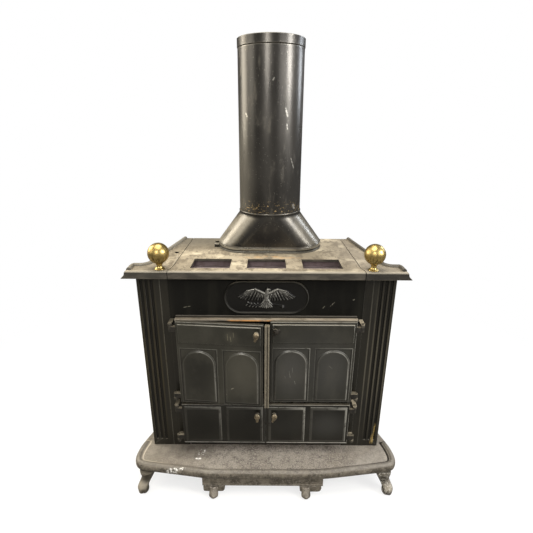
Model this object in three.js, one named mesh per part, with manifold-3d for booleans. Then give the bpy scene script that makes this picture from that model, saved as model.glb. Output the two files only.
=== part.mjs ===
// A Franklin pattern cast-iron fireplace stove with four doors, two brass balls and a stovepipe.
// Millimetres, +Z up, the floor at z = 0. The front face of the pilasters is y = 0 while the stove
// is drawn, the front faces -Y, and the whole group is moved at the end so that its plan is centred.
import * as THREE from 'three';
import { mergeVertices } from 'three/addons/utils/BufferGeometryUtils.js';
import Module from 'manifold-3d';

const wasm = await Module();
wasm.setup();

// ---------------------------------------------------------------- clearances
const seatGap = 0.3; // between castings that rest on or against each other
const pinClearance = 0.5; // all round a hinge pin or latch shaft
const doorGap = 1.0; // between a door's back and the flange that it closes on

// ---------------------------------------------------------------- hearth and feet
const hearthTop = 90; // upper face of the hearth plate above the floor
const hearthThickness = 10;
const rimWidth = 22;
const rimRise = 9; // crest of the rim above the plate
const rimDrop = 21; // underside of the rim below the plate's upper face
const hearthHalfWidth = 450;
const hearthFrontReach = 131; // middle of the rim's front, ahead of the pilasters
const hearthCornerReach = 99; // the rim's front at its rounded corners
const hearthCornerInset = 37; // where each corner's rounding starts, in from the ends
const hearthSideReach = 55; // where the widest stretch of the rim starts
const hearthNeckHalfWidth = 420; // the plate's width where it slips under the body
const hearthNeckY = 60;
const bulgeShift = -9; // the middle bulge, skirt and bracket legs sit this far off centre
const bulgeHalfWidth = 194;
const skirtHalfWidth = 202;
const skirtThickness = 10;
const skirtDepth = 32;
const skirtInset = 5;
const bracketSpacing = 162; // each bracket leg from the middle of the skirt
const bracketHalfWidth = 40;
const toeShift = { left: -2, right: -17 }; // each toe from the middle of its bracket
const toeReach = 9; // the toes stand this far ahead of the skirt
const toeRadius = 15;
const bracketDrop = 55; // bracket's lower edge below the rim
const legTopInset = 48; // front corner legs, in from the hearth's ends
const legTopReach = 88; // and ahead of the pilasters
const footInset = 36;
const footReach = 113;
const rearLegTopX = 296;
const rearLegTopInset = 53; // in from the back panel's rear face
const rearFootX = 318;
const rearFootInset = 21;
const footRadius = 18;
const kneeRadius = 22;
const ankleRadius = 11;
const legBow = 9; // how far the ankle draws back from the line between top and foot

// ---------------------------------------------------------------- body
const bodyWidth = 800; // over the pilasters
const bodyTop = 766.5; // top edge of the header, pilasters and side panels
const pilasterThickness = 14;
const stripThickness = 8;
const flutedWidth = 72;
const fluteCount = 4;
const fluteWidth = 9;
const fluteDepth = 5;
const fluteFoot = 115; // where the flutes start above the floor
const fluteHead = 742;
const headerHalfWidth = 305;
const openingHalfWidth = 270;
const ledgeTop = 606;
const ledgeThickness = 8;
const ledgeReach = 22;
const flangeThickness = 7;
const sidePanelThickness = 7;
const sideFrontX = 360;
const sideBackX = 304;
const bodyDepth = 303; // back face of the back panel
const backPanelThickness = 7;
const guardHeight = 38;
const guardThickness = 6;

// ---------------------------------------------------------------- top
const topSurface = 775;
const topThickness = 8;
const lipReach = 48;
const lipDrop = 25; // height of the turned-down lip
const lipWall = 8;
const lipBevel = 5;
const wingHalfWidth = 415; // top edge of the lip's ends
const wingFlare = 12; // how far the ends flare out at their foot
const wingBackY = 8;
const shoulderX = 372;
const topSideX = 364; // where the side edge meets the shoulder curve
const topSideY = 20;
const topBackX = 311;
const topBackY = 309;
const seamFrontX = 291;
const seamMidX = 282;
const seamMidY = -10;
const seamBackX = 275;
const beadRadius = 4.5;
const beadRise = 1.5;
const ventWidth = 118;
const ventDepth = 85;
const ventPitch = 169;
const ventCentreY = 24;
const trayDepth = 26;
const trayWall = 4;
const trayMargin = 14;
const louvreCount = 5;
const screwHoleX = -299;
const screwHoleY = 131;
const screwHoleRadius = 4;

// ---------------------------------------------------------------- flue
const flueX = 10; // the boot sits a little right of centre
const flueY = 217;
const bootBaseHalfLength = 177;
const bootBaseHalfDepth = 92;
const collarHeight = 19;
const collarWall = 7;
const bootWall = 2.5;
const bootHeight = 113.4;
const bootNeckHeight = 10;
const pipeRadius = 101.6;
const pipeWall = 1.6;
const pipeTop = 1416.6;
const pipeLap = 26; // how far the pipe drops into the boot
const pipeBandHeight = 24;
const pipeBandProud = 1.4;
const earLength = 46;
const earReach = 15;
const earHeight = 12;
const boltRadius = 4;

// ---------------------------------------------------------------- ball finials
const ballRadius = 31;
const ballCentreZ = 824;
const ballX = 315;
const ballReach = 30;
const finialFootRadius = 15;
const finialNeckRadius = 8;
const finialCupRadius = 11;

// ---------------------------------------------------------------- doors
const doorThickness = 17;
const doorHalfWidth = 282; // outer edges of the doors from the middle
const upperDoorTop = 605;
const upperDoorFoot = 307;
const lowerDoorTop = 294.5;
const lowerDoorFoot = 133;
const rightUpperInner = 12.5;
const leftUpperInner = 8;
const lowerInner = 1.2; // half the joint between the lower doors
const panelProud = 4;
const panelBevel = 5;
const beadWidth = 6;
const beadProud = 2;
const topPanelFoot = 533;
const archPanelHead = 514;
const doorMargin = 7; // from a door's edge to its raised panels
const stileWidth = 15;
const astragalProud = 4;
const ajarAngle = 4.5; // degrees that the upper left door stands open

const hingeX = 299;
const lugWidth = 16;
const lugHeight = 9;
const knuckleHeight = 17;
const pinRadius = 3;
const pinHeadRadius = 5.5;
const pinHeadHeight = 3;
const upperHingeHead = 597; // top face of the upper doors' upper lugs
const upperHingeFoot = 313.5; // underside of the upper doors' lower lugs
const lowerHingeHead = 290;
const lowerHingeFoot = 141.5;

// ---------------------------------------------------------------- latches
const latchX = 28;
const upperLatchZ = 575;
const lowerLatchZ = 257;
const shaftRadius = 4;
const handleStandOff = 11;
const handleThickness = 7;
const handleHeadWidth = 21;
const handleHeadHeight = 26;
const handleTailRadius = 5.5;
const handleTailDrop = 8;
const tongueWidth = 14;
const tongueThickness = 5;
const upperTongueY = 34;
const upperTongueLength = 42;
const lowerTongueY = -13;
const lowerTongueLength = 64;
const rivetRadius = 6.5;
const rivetHeight = 3;

// ---------------------------------------------------------------- grate
const grateWidth = 420;
const grateDepth = 190;
const grateY = 150;
const grateBars = 9;
const grateBarWidth = 10;
const grateBarHeight = 14;
const grateLegHeight = 42;
const grateLegWidth = 14;
const grateLegInset = 30;
const grateHornHeight = 60;

// ---------------------------------------------------------------- places worked out from the sizes above
const hearthCornerX = hearthHalfWidth - hearthCornerInset;
const legTopX = hearthHalfWidth - legTopInset;
const footX = hearthHalfWidth - footInset;
const rearLegTopY = bodyDepth - rearLegTopInset;
const rearFootY = bodyDepth - rearFootInset;
const halfWidth = bodyWidth / 2;
const flutedInner = halfWidth - flutedWidth;
const doorBack = -ledgeReach - doorGap;
const doorFront = doorBack - doorThickness;
const hingeY = doorBack - doorThickness / 2;
const plateUnder = topSurface - topThickness;
const lipFoot = topSurface - lipDrop;
const rimFoot = hearthTop - rimDrop;
const plateFoot = hearthTop - hearthThickness;
const trayTop = plateUnder - seatGap;
const trayFoot = trayTop - trayDepth;
const trayHalfWidth = ventPitch + ventWidth / 2 + trayMargin;
const collarFoot = topSurface + seatGap;
const collarTop = collarFoot + collarHeight;
const bootFoot = collarTop + seatGap;
const bootTop = bootFoot + bootHeight;
const flueSides = 40; // facets round the pipe and boot, in step so that one fits in the other
const bootNeckRadius = pipeRadius + seatGap + bootWall;
const degrees = Math.PI / 180;

// ---------------------------------------------------------------- materials
function finish(colour, roughness, metalness) {
  return new THREE.MeshStandardMaterial({ color: colour, roughness, metalness });
}
const blackIron = () => finish(0x2b2c2a, 0.55, 0.6);
const greyIron = () => finish(0x8f8a80, 0.8, 0.4);
const dustyIron = () => finish(0xb9ae9b, 0.85, 0.3);
const pipeSteel = () => finish(0x3a3c3b, 0.3, 0.8);
const brass = () => finish(0xb9973f, 0.3, 1.0);
const paleIron = () => finish(0xc8bfae, 0.7, 0.4);

// ---------------------------------------------------------------- solids
function toSolid(geometry) {
  const bare = geometry.index ? geometry.toNonIndexed() : geometry.clone();
  bare.deleteAttribute('normal');
  bare.deleteAttribute('uv');
  const merged = mergeVertices(bare, 1e-4);
  return new wasm.Manifold(
    new wasm.Mesh({
      numProp: 3,
      vertProperties: new Float32Array(merged.attributes.position.array),
      triVerts: new Uint32Array(merged.index.array),
    })
  );
}

function toGeometry(solid) {
  const { vertProperties, triVerts, numProp } = solid.getMesh();
  const points = new Float32Array((vertProperties.length / numProp) * 3);
  for (let i = 0; i < points.length / 3; i += 1) {
    for (let k = 0; k < 3; k += 1) points[3 * i + k] = vertProperties[numProp * i + k];
  }
  const geometry = new THREE.BufferGeometry();
  geometry.setAttribute('position', new THREE.BufferAttribute(points, 3));
  geometry.setIndex(new THREE.BufferAttribute(new Uint32Array(triVerts), 1));
  geometry.computeVertexNormals();
  return geometry;
}

const join = (solids) => solids.reduce((sum, next) => sum.add(next));
const cutAll = (solid, tools) => tools.reduce((rest, tool) => rest.subtract(tool), solid);

function block(x0, x1, y0, y1, z0, z1) {
  const box = new THREE.BoxGeometry(Math.abs(x1 - x0), Math.abs(y1 - y0), Math.abs(z1 - z0));
  return toSolid(box.translate((x0 + x1) / 2, (y0 + y1) / 2, (z0 + z1) / 2));
}

// a cylinder whose flats stand clear of the circle, so that it can be a hole round a pin
function rod(radius, from, to, sides = 20) {
  const axis = new THREE.Vector3().subVectors(to, from);
  const cylinder = new THREE.CylinderGeometry(radius, radius, axis.length(), sides);
  const turn = new THREE.Quaternion().setFromUnitVectors(new THREE.Vector3(0, 1, 0), axis.clone().normalize());
  const middle = new THREE.Vector3().addVectors(from, to).multiplyScalar(0.5);
  return toSolid(cylinder.applyQuaternion(turn).translate(middle.x, middle.y, middle.z));
}
const uprightRod = (radius, x, y, z0, z1, sides) =>
  rod(radius, new THREE.Vector3(x, y, z0), new THREE.Vector3(x, y, z1), sides);
const acrossRod = (radius, x, z, y0, y1, sides) =>
  rod(radius, new THREE.Vector3(x, y0, z), new THREE.Vector3(x, y1, z), sides);

// a plan outline raised from z0 to z1
function plate(shape, z0, z1, curveSegments = 8) {
  const slab = new THREE.ExtrudeGeometry(shape, { depth: z1 - z0, bevelEnabled: false, curveSegments });
  return toSolid(slab.translate(0, 0, z0));
}

// an outline drawn as (x, z) and given thickness from yFront back to yBack
function upright(shape, yFront, yBack, curveSegments = 8) {
  const slab = new THREE.ExtrudeGeometry(shape, { depth: yBack - yFront, bevelEnabled: false, curveSegments });
  return toSolid(slab.rotateX(Math.PI / 2).translate(0, yBack, 0));
}

// a raised field with a sloping edge, its foot sunk into the plate behind it
function raisedPanel(shape, yPlate, proud, bevel, curveSegments = 7) {
  const sunk = 1;
  const field = new THREE.ExtrudeGeometry(shape, {
    depth: sunk,
    bevelThickness: proud,
    bevelSize: bevel,
    bevelOffset: -bevel,
    bevelSegments: 1,
    curveSegments,
  });
  return toSolid(field.rotateX(Math.PI / 2).translate(0, yPlate + sunk, 0)).subtract(
    block(-2 * halfWidth, 2 * halfWidth, yPlate + sunk, yPlate + sunk + 4 * proud + bevel, 0, pipeTop)
  );
}

// a figure in low relief: the outline cut from a flattened dome that stands on the plate
function relief(shape, yPlate, { x, z, halfWide, halfHigh, proud }) {
  const sunk = 1;
  const dome = new THREE.SphereGeometry(1, 14, 8);
  dome.scale(halfWide, proud + sunk, halfHigh).translate(x, yPlate + sunk, z);
  return upright(shape, yPlate - 2 * proud, yPlate + sunk, 3).intersect(toSolid(dome));
}

function outline(points) {
  const shape = new THREE.Shape();
  points.forEach(([x, y], i) => (i ? shape.lineTo(x, y) : shape.moveTo(x, y)));
  shape.closePath();
  return shape;
}
const rectangle = (x0, x1, z0, z1) => outline([[x0, z0], [x1, z0], [x1, z1], [x0, z1]]);

function stadium(halfLength, halfDepth) {
  const reach = halfLength - halfDepth;
  const shape = new THREE.Shape();
  shape.moveTo(-reach, -halfDepth);
  shape.lineTo(reach, -halfDepth);
  shape.absarc(reach, 0, halfDepth, -Math.PI / 2, Math.PI / 2, false);
  shape.lineTo(-reach, halfDepth);
  shape.absarc(-reach, 0, halfDepth, Math.PI / 2, (3 * Math.PI) / 2, false);
  return shape;
}

// quads between rings of points, closed at both ends or, for a shell, ring to ring
function skin(rings, closed) {
  const sides = rings[0].length;
  const position = [];
  const index = [];
  rings.forEach((ring) => ring.forEach((p) => position.push(p.x, p.y, p.z)));
  const bands = closed ? rings.length : rings.length - 1;
  for (let r = 0; r < bands; r += 1) {
    const low = r * sides;
    const high = ((r + 1) % rings.length) * sides;
    for (let s = 0; s < sides; s += 1) {
      const next = (s + 1) % sides;
      index.push(low + s, low + next, high + next, low + s, high + next, high + s);
    }
  }
  if (!closed) {
    [0, rings.length - 1].forEach((r) => {
      const middle = new THREE.Vector3();
      rings[r].forEach((p) => middle.addScaledVector(p, 1 / sides));
      const hub = position.length / 3;
      position.push(middle.x, middle.y, middle.z);
      for (let s = 0; s < sides; s += 1) {
        const a = r * sides + s;
        const b = r * sides + ((s + 1) % sides);
        index.push(...(r ? [a, b, hub] : [b, a, hub]));
      }
    });
  }
  const geometry = new THREE.BufferGeometry();
  geometry.setAttribute('position', new THREE.Float32BufferAttribute(position, 3));
  geometry.setIndex(index);
  return toSolid(geometry);
}

// a limb of changing thickness: each station is [point, half width, half depth], rings stay level
function limb(stations, sides = 12) {
  const rings = stations.map(([at, rx, ry]) =>
    Array.from({ length: sides }, (_, s) => {
      const turn = (2 * Math.PI * s) / sides;
      return new THREE.Vector3(at.x + rx * Math.cos(turn), at.y + ry * Math.sin(turn), at.z);
    })
  );
  return skin(rings, false);
}

function revolve(profile, segments, start = 0) {
  const lathe = new THREE.LatheGeometry(profile.map(([r, z]) => new THREE.Vector2(r, z)), segments, start);
  return toSolid(lathe.rotateX(Math.PI / 2));
}

const mirrorX = (solid) => solid.mirror([1, 0, 0]);
const sided = (side, solid) => (side < 0 ? mirrorX(solid) : solid);
const sides = [
  { word: 'left', sign: -1 },
  { word: 'right', sign: 1 },
];

const stove = new THREE.Group();

function addPiece(name, solid, material, parent = stove) {
  const mesh = new THREE.Mesh(toGeometry(solid), material);
  mesh.name = name;
  parent.add(mesh);
  return mesh;
}

// ---------------------------------------------------------------- hearth plate
// the plan of the plate, taken in by an inset all round its front and sides
function hearthPlan(inset) {
  const left = bulgeShift - bulgeHalfWidth + inset / 3;
  const right = bulgeShift + bulgeHalfWidth - inset / 3;
  const front = -hearthFrontReach + inset;
  const cornerFront = -hearthCornerReach + inset;
  const cornerX = hearthCornerX - inset / 2;
  const wide = hearthHalfWidth - inset;
  const neck = hearthNeckHalfWidth - inset;
  const backX = sideBackX + hearthNeckHalfWidth - sideFrontX - inset;
  const shape = new THREE.Shape();
  shape.moveTo(left, front);
  shape.lineTo(right, front);
  shape.lineTo(cornerX, cornerFront);
  shape.quadraticCurveTo(wide - 2, cornerFront + 6, wide, -hearthSideReach);
  shape.bezierCurveTo(wide + 1, -hearthSideReach / 2, wide - 8, hearthNeckY / 3, neck, hearthNeckY);
  shape.lineTo(backX, bodyDepth - inset);
  shape.lineTo(-backX, bodyDepth - inset);
  shape.lineTo(-neck, hearthNeckY);
  shape.bezierCurveTo(-wide + 8, hearthNeckY / 3, -wide - 1, -hearthSideReach / 2, -wide, -hearthSideReach);
  shape.quadraticCurveTo(-wide + 2, cornerFront + 6, -cornerX, cornerFront);
  shape.closePath();
  return shape;
}

// the rim is stepped so that its section rounds over
function hearthPlate() {
  const crest = hearthTop + rimRise;
  const round = rimRise / 3;
  const raised = join([
    plate(hearthPlan(0), rimFoot, hearthTop + rimRise * 0.35, 6),
    plate(hearthPlan(round / 2), rimFoot, hearthTop + rimRise * 0.75, 6),
    plate(hearthPlan(round + rimWidth / 8), rimFoot, crest, 6),
  ]);
  const well = join([
    plate(hearthPlan(rimWidth), hearthTop, crest + 1, 6),
    plate(hearthPlan(rimWidth - round), hearthTop + rimRise * 0.55, crest + 1, 6),
    plate(hearthPlan(rimWidth), rimFoot - 1, plateFoot, 6),
  ]);
  const behind = block(
    -hearthHalfWidth, hearthHalfWidth, pilasterThickness / 2, bodyDepth + 1, hearthTop, crest + 1
  );
  return raised.subtract(well).subtract(behind);
}

// ---------------------------------------------------------------- skirt and legs
const skirtFront = -hearthFrontReach + skirtInset;
const skirtBack = skirtFront + skirtThickness;

function frontSkirt() {
  const z1 = rimFoot - seatGap;
  const band = rectangle(bulgeShift - skirtHalfWidth, bulgeShift + skirtHalfWidth, z1 - skirtDepth, z1);
  const shelf = block(
    bulgeShift - skirtHalfWidth, bulgeShift + skirtHalfWidth, skirtBack, skirtBack + 2 * skirtThickness,
    z1 - stripThickness, z1
  );
  return upright(band, skirtFront, skirtBack).add(shelf);
}

// a bracket in front of the skirt's lower edge with a short toe below it
function bracketLeg(word, sign) {
  const x = bulgeShift + sign * bracketSpacing;
  const z1 = rimFoot - seatGap;
  const plateBack = skirtBack + seatGap;
  const shape = new THREE.Shape();
  shape.moveTo(-bracketHalfWidth, z1 - stripThickness - seatGap);
  shape.lineTo(-bracketHalfWidth + 3, z1 - bracketDrop + 6);
  shape.quadraticCurveTo(-bracketHalfWidth + 4, z1 - bracketDrop, -bracketHalfWidth + 12, z1 - bracketDrop);
  shape.lineTo(bracketHalfWidth - 16, z1 - bracketDrop);
  shape.quadraticCurveTo(bracketHalfWidth - 8, z1 - bracketDrop, bracketHalfWidth - 5, z1 - bracketDrop + 8);
  shape.quadraticCurveTo(bracketHalfWidth, z1 - skirtDepth, bracketHalfWidth, z1 - skirtDepth + 4);
  shape.lineTo(bracketHalfWidth, z1 - stripThickness - seatGap);
  shape.closePath();
  const bracket = upright(shape, plateBack, plateBack + skirtThickness, 4).translate([x, 0, 0]);
  const lower = rectangle(
    -bracketHalfWidth + 3, bracketHalfWidth - 5, z1 - bracketDrop, z1 - skirtDepth - seatGap
  );
  const face = upright(lower, skirtFront, plateBack + 1).translate([x, 0, 0]);
  const at = (back, z) => new THREE.Vector3(x + toeShift[word], skirtFront - toeReach + back, z);
  const toe = limb([
    [at(0, 0), toeRadius * 0.6, toeRadius * 0.6],
    [at(-1, 6), toeRadius, toeRadius * 0.9],
    [at(3, 16), toeRadius, toeRadius * 0.85],
    [at(11, 26), toeRadius, toeRadius * 0.75],
    [at(18, z1 - skirtDepth), toeRadius * 1.1, toeRadius * 0.7],
  ], 12);
  return join([bracket, face, toe]);
}

// a cabriole corner leg: broad knee, thin ankle drawn back, round foot turned out
function cornerLeg(topX, topY, padX, padY, z1) {
  const top = new THREE.Vector3(topX, topY, 0);
  const pad = new THREE.Vector3(padX, padY, 0);
  const out = pad.clone().sub(top).normalize();
  const along = (share, lift) => top.clone().lerp(pad, share)
    .addScaledVector(out, -legBow * Math.sin(Math.PI * share)).setZ(lift);
  return limb([
    [along(1, 0), footRadius * 0.6, footRadius * 0.6],
    [along(1, 4), footRadius * 0.87, footRadius * 0.87],
    [along(1, 12), footRadius, footRadius],
    [along(1, 22), footRadius * 0.93, footRadius * 0.93],
    [along(0.9, 30), footRadius * 0.74, footRadius * 0.72],
    [along(0.72, 37), ankleRadius + 1, ankleRadius],
    [along(0.5, 45), ankleRadius + 1, ankleRadius],
    [along(0.3, 54), kneeRadius * 0.75, kneeRadius * 0.68],
    [along(0.1, z1 - 6), kneeRadius * 1.05, kneeRadius],
    [along(0, z1), kneeRadius * 1.15, kneeRadius * 1.1],
  ], 12);
}

// ---------------------------------------------------------------- hinge lugs, shared by pilasters and doors
// the four hinges of one side; "knuckle" says whether the door's knuckle hangs below or stands on the lug
const hinges = [
  { word: 'upper_top', door: 'upper', z0: upperHingeHead - lugHeight, z1: upperHingeHead, below: true },
  { word: 'upper_bottom', door: 'upper', z0: upperHingeFoot, z1: upperHingeFoot + lugHeight, below: false },
  { word: 'lower_top', door: 'lower', z0: lowerHingeHead - lugHeight, z1: lowerHingeHead, below: true },
  { word: 'lower_bottom', door: 'lower', z0: lowerHingeFoot, z1: lowerHingeFoot + lugHeight, below: false },
];

function lugPlate(x0, y0, z0, z1, towardX, towardY, width) {
  const eye = uprightRod(width / 2, x0, y0, z0, z1, 12);
  const arm = towardY === null
    ? block(x0, towardX, y0 - width / 2, y0 + width / 2, z0, z1)
    : block(x0 - width / 2, x0 + width / 2, y0, towardY, z0, z1);
  return eye.add(arm);
}

function frameLug(hinge) {
  const hole = uprightRod(pinRadius + pinClearance, hingeX, hingeY, hinge.z0 - 1, hinge.z1 + 1);
  return lugPlate(hingeX, hingeY, hinge.z0, hinge.z1, null, 1, lugWidth).subtract(hole);
}

function knuckleSpan(hinge) {
  return hinge.below
    ? [hinge.z0 - seatGap - knuckleHeight, hinge.z0 - seatGap]
    : [hinge.z1 + seatGap, hinge.z1 + seatGap + knuckleHeight];
}

function doorKnuckle(hinge, edgeX) {
  const [z0, z1] = knuckleSpan(hinge);
  const width = doorThickness - 3;
  const hole = uprightRod(pinRadius + pinClearance, hingeX, hingeY, z0 - 1, z1 + 1);
  return lugPlate(hingeX, hingeY, z0, z1, edgeX - 1, null, width).subtract(hole);
}

// ---------------------------------------------------------------- pilasters
function pilaster() {
  const foot = hearthTop + seatGap;
  const step = ledgeTop - ledgeThickness - seatGap;
  const fluted = block(flutedInner, halfWidth, 0, pilasterThickness, foot, bodyTop);
  const strip = block(headerHalfWidth + seatGap, flutedInner + 1, 0, stripThickness, foot, bodyTop);
  const jamb = block(openingHalfWidth, headerHalfWidth + 1, 0, stripThickness, foot, step);
  const flangeFoot = lowerDoorFoot - 5;
  const flange = block(openingHalfWidth, openingHalfWidth + flangeThickness, -ledgeReach, 1, flangeFoot, step);
  const pitch = flutedWidth / (fluteCount + 0.5);
  const flutes = Array.from({ length: fluteCount }, (_, i) => {
    const x = flutedInner + pitch * (i + 0.62);
    const length = fluteHead - fluteFoot - fluteWidth;
    const groove = new THREE.CapsuleGeometry(fluteWidth / 2, length, 2, 8);
    groove.rotateX(Math.PI / 2).scale(1, (2 * fluteDepth) / fluteWidth, 1);
    return toSolid(groove.translate(x, 0, (fluteHead + fluteFoot) / 2));
  });
  return cutAll(join([fluted, strip, jamb, flange, ...hinges.map(frameLug)]), flutes);
}

// ---------------------------------------------------------------- header, medallion and eagle
const medallionHalfLength = 132;
const medallionHalfHeight = 55;
const medallionZ = 673;
const medallionProud = 5;
const medallionRim = 6;
const medallionRimProud = 3;

// the header's top edge is notched for the tray that hangs under the vents
function headerPanel() {
  const sheet = block(-headerHalfWidth, headerHalfWidth, 0, stripThickness, ledgeTop - ledgeThickness, bodyTop);
  const ledgeHalf = doorHalfWidth + 5;
  const ledge = block(-ledgeHalf, ledgeHalf, -ledgeReach, 1, ledgeTop - ledgeThickness, ledgeTop);
  const notchHalf = trayHalfWidth + seatGap;
  const notch = block(-notchHalf, notchHalf, -1, stripThickness + 1, trayFoot - seatGap, bodyTop + 1);
  return sheet.add(ledge).subtract(notch);
}

// one spread wing, drawn from the shoulder out to the tip with scalloped flight feathers below
function wing() {
  const feathers = 6;
  const shape = new THREE.Shape();
  shape.moveTo(5, 14);
  shape.quadraticCurveTo(18, 32, 40, 30);
  shape.quadraticCurveTo(60, 27, 78, 8);
  for (let i = 0; i < feathers; i += 1) {
    const x0 = 78 - (i * 66) / feathers;
    const x1 = 78 - ((i + 1) * 66) / feathers;
    const low = (x) => 8 - 15 * Math.sin((Math.PI * (78 - x)) / 84);
    shape.quadraticCurveTo((x0 + x1) / 2 - 1, low((x0 + x1) / 2) - 9, x1, low(x1));
  }
  shape.closePath();
  return shape;
}

function eagleOutlines() {
  const body = new THREE.Shape();
  body.moveTo(0, 25);
  body.bezierCurveTo(10, 22, 11, 4, 7, -8);
  body.quadraticCurveTo(3, -15, 0, -17);
  body.quadraticCurveTo(-3, -15, -7, -8);
  body.bezierCurveTo(-11, 4, -10, 22, 0, 25);
  const head = new THREE.Shape();
  head.moveTo(-6, 20);
  head.quadraticCurveTo(-8, 32, 1, 35);
  head.quadraticCurveTo(9, 36, 10, 30);
  head.lineTo(17, 25);
  head.lineTo(9, 26);
  head.quadraticCurveTo(8, 20, 6, 17);
  head.closePath();
  const tail = outline([
    [-4, -12], [4, -12], [15, -34], [8, -33], [4, -37], [0, -34], [-4, -37], [-8, -33], [-15, -34],
  ]);
  const branch = new THREE.Shape();
  branch.moveTo(-9, -12);
  branch.quadraticCurveTo(-30, -26, -56, -17);
  branch.quadraticCurveTo(-34, -32, -8, -22);
  branch.closePath();
  const arrows = outline([[9, -11], [44, -26], [46, -22], [54, -33], [41, -34], [43, -31], [9, -18]]);
  return { body, head, tail, branch, arrows };
}

function eagleMedallion() {
  const back = -seatGap;
  const face = back - medallionProud;
  const at = (solid) => solid.translate([0, 0, medallionZ]);
  const disc = upright(stadium(medallionHalfLength, medallionHalfHeight), face, back, 12);
  const rimOuter = stadium(medallionHalfLength, medallionHalfHeight);
  const rimInner = stadium(medallionHalfLength - medallionRim, medallionHalfHeight - medallionRim);
  const rim = upright(rimOuter, face - medallionRimProud, face + 1, 12)
    .subtract(upright(rimInner, face - medallionRimProud - 1, face + 2, 12));
  const { body, head, tail, branch, arrows } = eagleOutlines();
  const spread = relief(wing(), face, { x: 30, z: 10, halfWide: 64, halfHigh: 40, proud: 6 });
  const figures = [
    spread,
    mirrorX(spread),
    relief(tail, face, { x: 0, z: -20, halfWide: 20, halfHigh: 30, proud: 5 }),
    relief(branch, face, { x: -25, z: -20, halfWide: 36, halfHigh: 14, proud: 4 }),
    relief(arrows, face, { x: 25, z: -24, halfWide: 36, halfHigh: 18, proud: 4 }),
    relief(body, face, { x: 0, z: 3, halfWide: 12, halfHigh: 26, proud: 9 }),
    relief(head, face, { x: 3, z: 27, halfWide: 17, halfHigh: 14, proud: 8 }),
  ];
  return at(join([disc, rim, ...figures]));
}

// ---------------------------------------------------------------- side, back and guard
function sidePanel() {
  const y0 = pilasterThickness + seatGap;
  const y1 = bodyDepth - backPanelThickness - seatGap;
  const inner = sidePanelThickness;
  const plan = outline([[sideFrontX - inner, y0], [sideFrontX, y0], [sideBackX, y1], [sideBackX - inner, y1]]);
  const panel = plate(plan, hearthTop + seatGap, bodyTop);
  const ribs = [0.3, 0.7].map((share) => {
    const x = THREE.MathUtils.lerp(sideFrontX, sideBackX, share);
    const y = THREE.MathUtils.lerp(y0, y1, share);
    return uprightRod(5, x, y, hearthTop + 40, bodyTop - 40, 10);
  });
  return join([panel, ...ribs]);
}

function backPanel() {
  const half = sideBackX;
  const y0 = bodyDepth - backPanelThickness;
  const sheet = block(-half, half, y0, bodyDepth, hearthTop + seatGap, bodyTop);
  const ribs = [-0.5, 0, 0.5].map((share) =>
    uprightRod(4, share * half, bodyDepth, hearthTop + 40, bodyTop - 40, 10)
  );
  return join([sheet, ...ribs]);
}

function ashGuard() {
  const half = openingHalfWidth - 2;
  const foot = hearthTop + seatGap;
  const wall = block(-half, half, 2, 2 + guardThickness, foot, foot + guardHeight);
  const shoe = block(-half, half, 2, 2 + 4 * guardThickness, foot, foot + guardThickness);
  return wall.add(shoe);
}

// ---------------------------------------------------------------- top plates
// the lip's section, as a region that reaches far back: (y, z) run along x
function frontLipRegion(reachX) {
  const section = outline([
    [-lipReach, lipFoot - 1], [-lipReach, topSurface - lipBevel], [-lipReach + lipBevel, topSurface],
    [bodyDepth + lipReach, topSurface], [bodyDepth + lipReach, lipFoot - 1],
  ]);
  const slab = new THREE.ExtrudeGeometry(section, { depth: 2 * reachX, bevelEnabled: false });
  // shape x becomes y, shape y becomes z, depth becomes x
  slab.applyMatrix4(new THREE.Matrix4().makeBasis(
    new THREE.Vector3(0, 1, 0), new THREE.Vector3(0, 0, 1), new THREE.Vector3(1, 0, 0)
  ));
  return toSolid(slab.translate(-reachX, 0, 0));
}

// the ogee on the wing's end: (x, z) run along y, everything inside the moulding
function wingEndRegion() {
  const section = new THREE.Shape();
  section.moveTo(0, lipFoot - 1);
  section.lineTo(wingHalfWidth + wingFlare, lipFoot - 1);
  section.lineTo(wingHalfWidth + wingFlare, lipFoot + 2);
  section.quadraticCurveTo(wingHalfWidth + 3, lipFoot + 6, wingHalfWidth + 1, topSurface - lipBevel - 3);
  section.quadraticCurveTo(wingHalfWidth, topSurface - 1, wingHalfWidth - lipBevel, topSurface);
  section.lineTo(0, topSurface);
  section.closePath();
  return upright(section, -lipReach - 1, bodyDepth + lipReach, 5);
}

const seamAt = (offset) => [
  [seamFrontX + offset, -lipReach - 2],
  [seamMidX + offset, seamMidY],
  [seamBackX + offset, topBackY],
];

function sideTopPlan() {
  const [front, middle, back] = seamAt(seatGap / 2);
  const shape = new THREE.Shape();
  shape.moveTo(...front);
  shape.lineTo(wingHalfWidth + wingFlare, -lipReach - 2);
  shape.lineTo(wingHalfWidth + wingFlare, wingBackY - 12);
  shape.quadraticCurveTo(wingHalfWidth + wingFlare - 1, wingBackY, wingHalfWidth - 8, wingBackY);
  shape.lineTo(shoulderX + 12, wingBackY);
  shape.quadraticCurveTo(shoulderX - 2, wingBackY, topSideX, topSideY);
  shape.lineTo(topBackX, topBackY);
  shape.lineTo(...back);
  shape.lineTo(...middle);
  shape.closePath();
  return shape;
}

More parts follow.
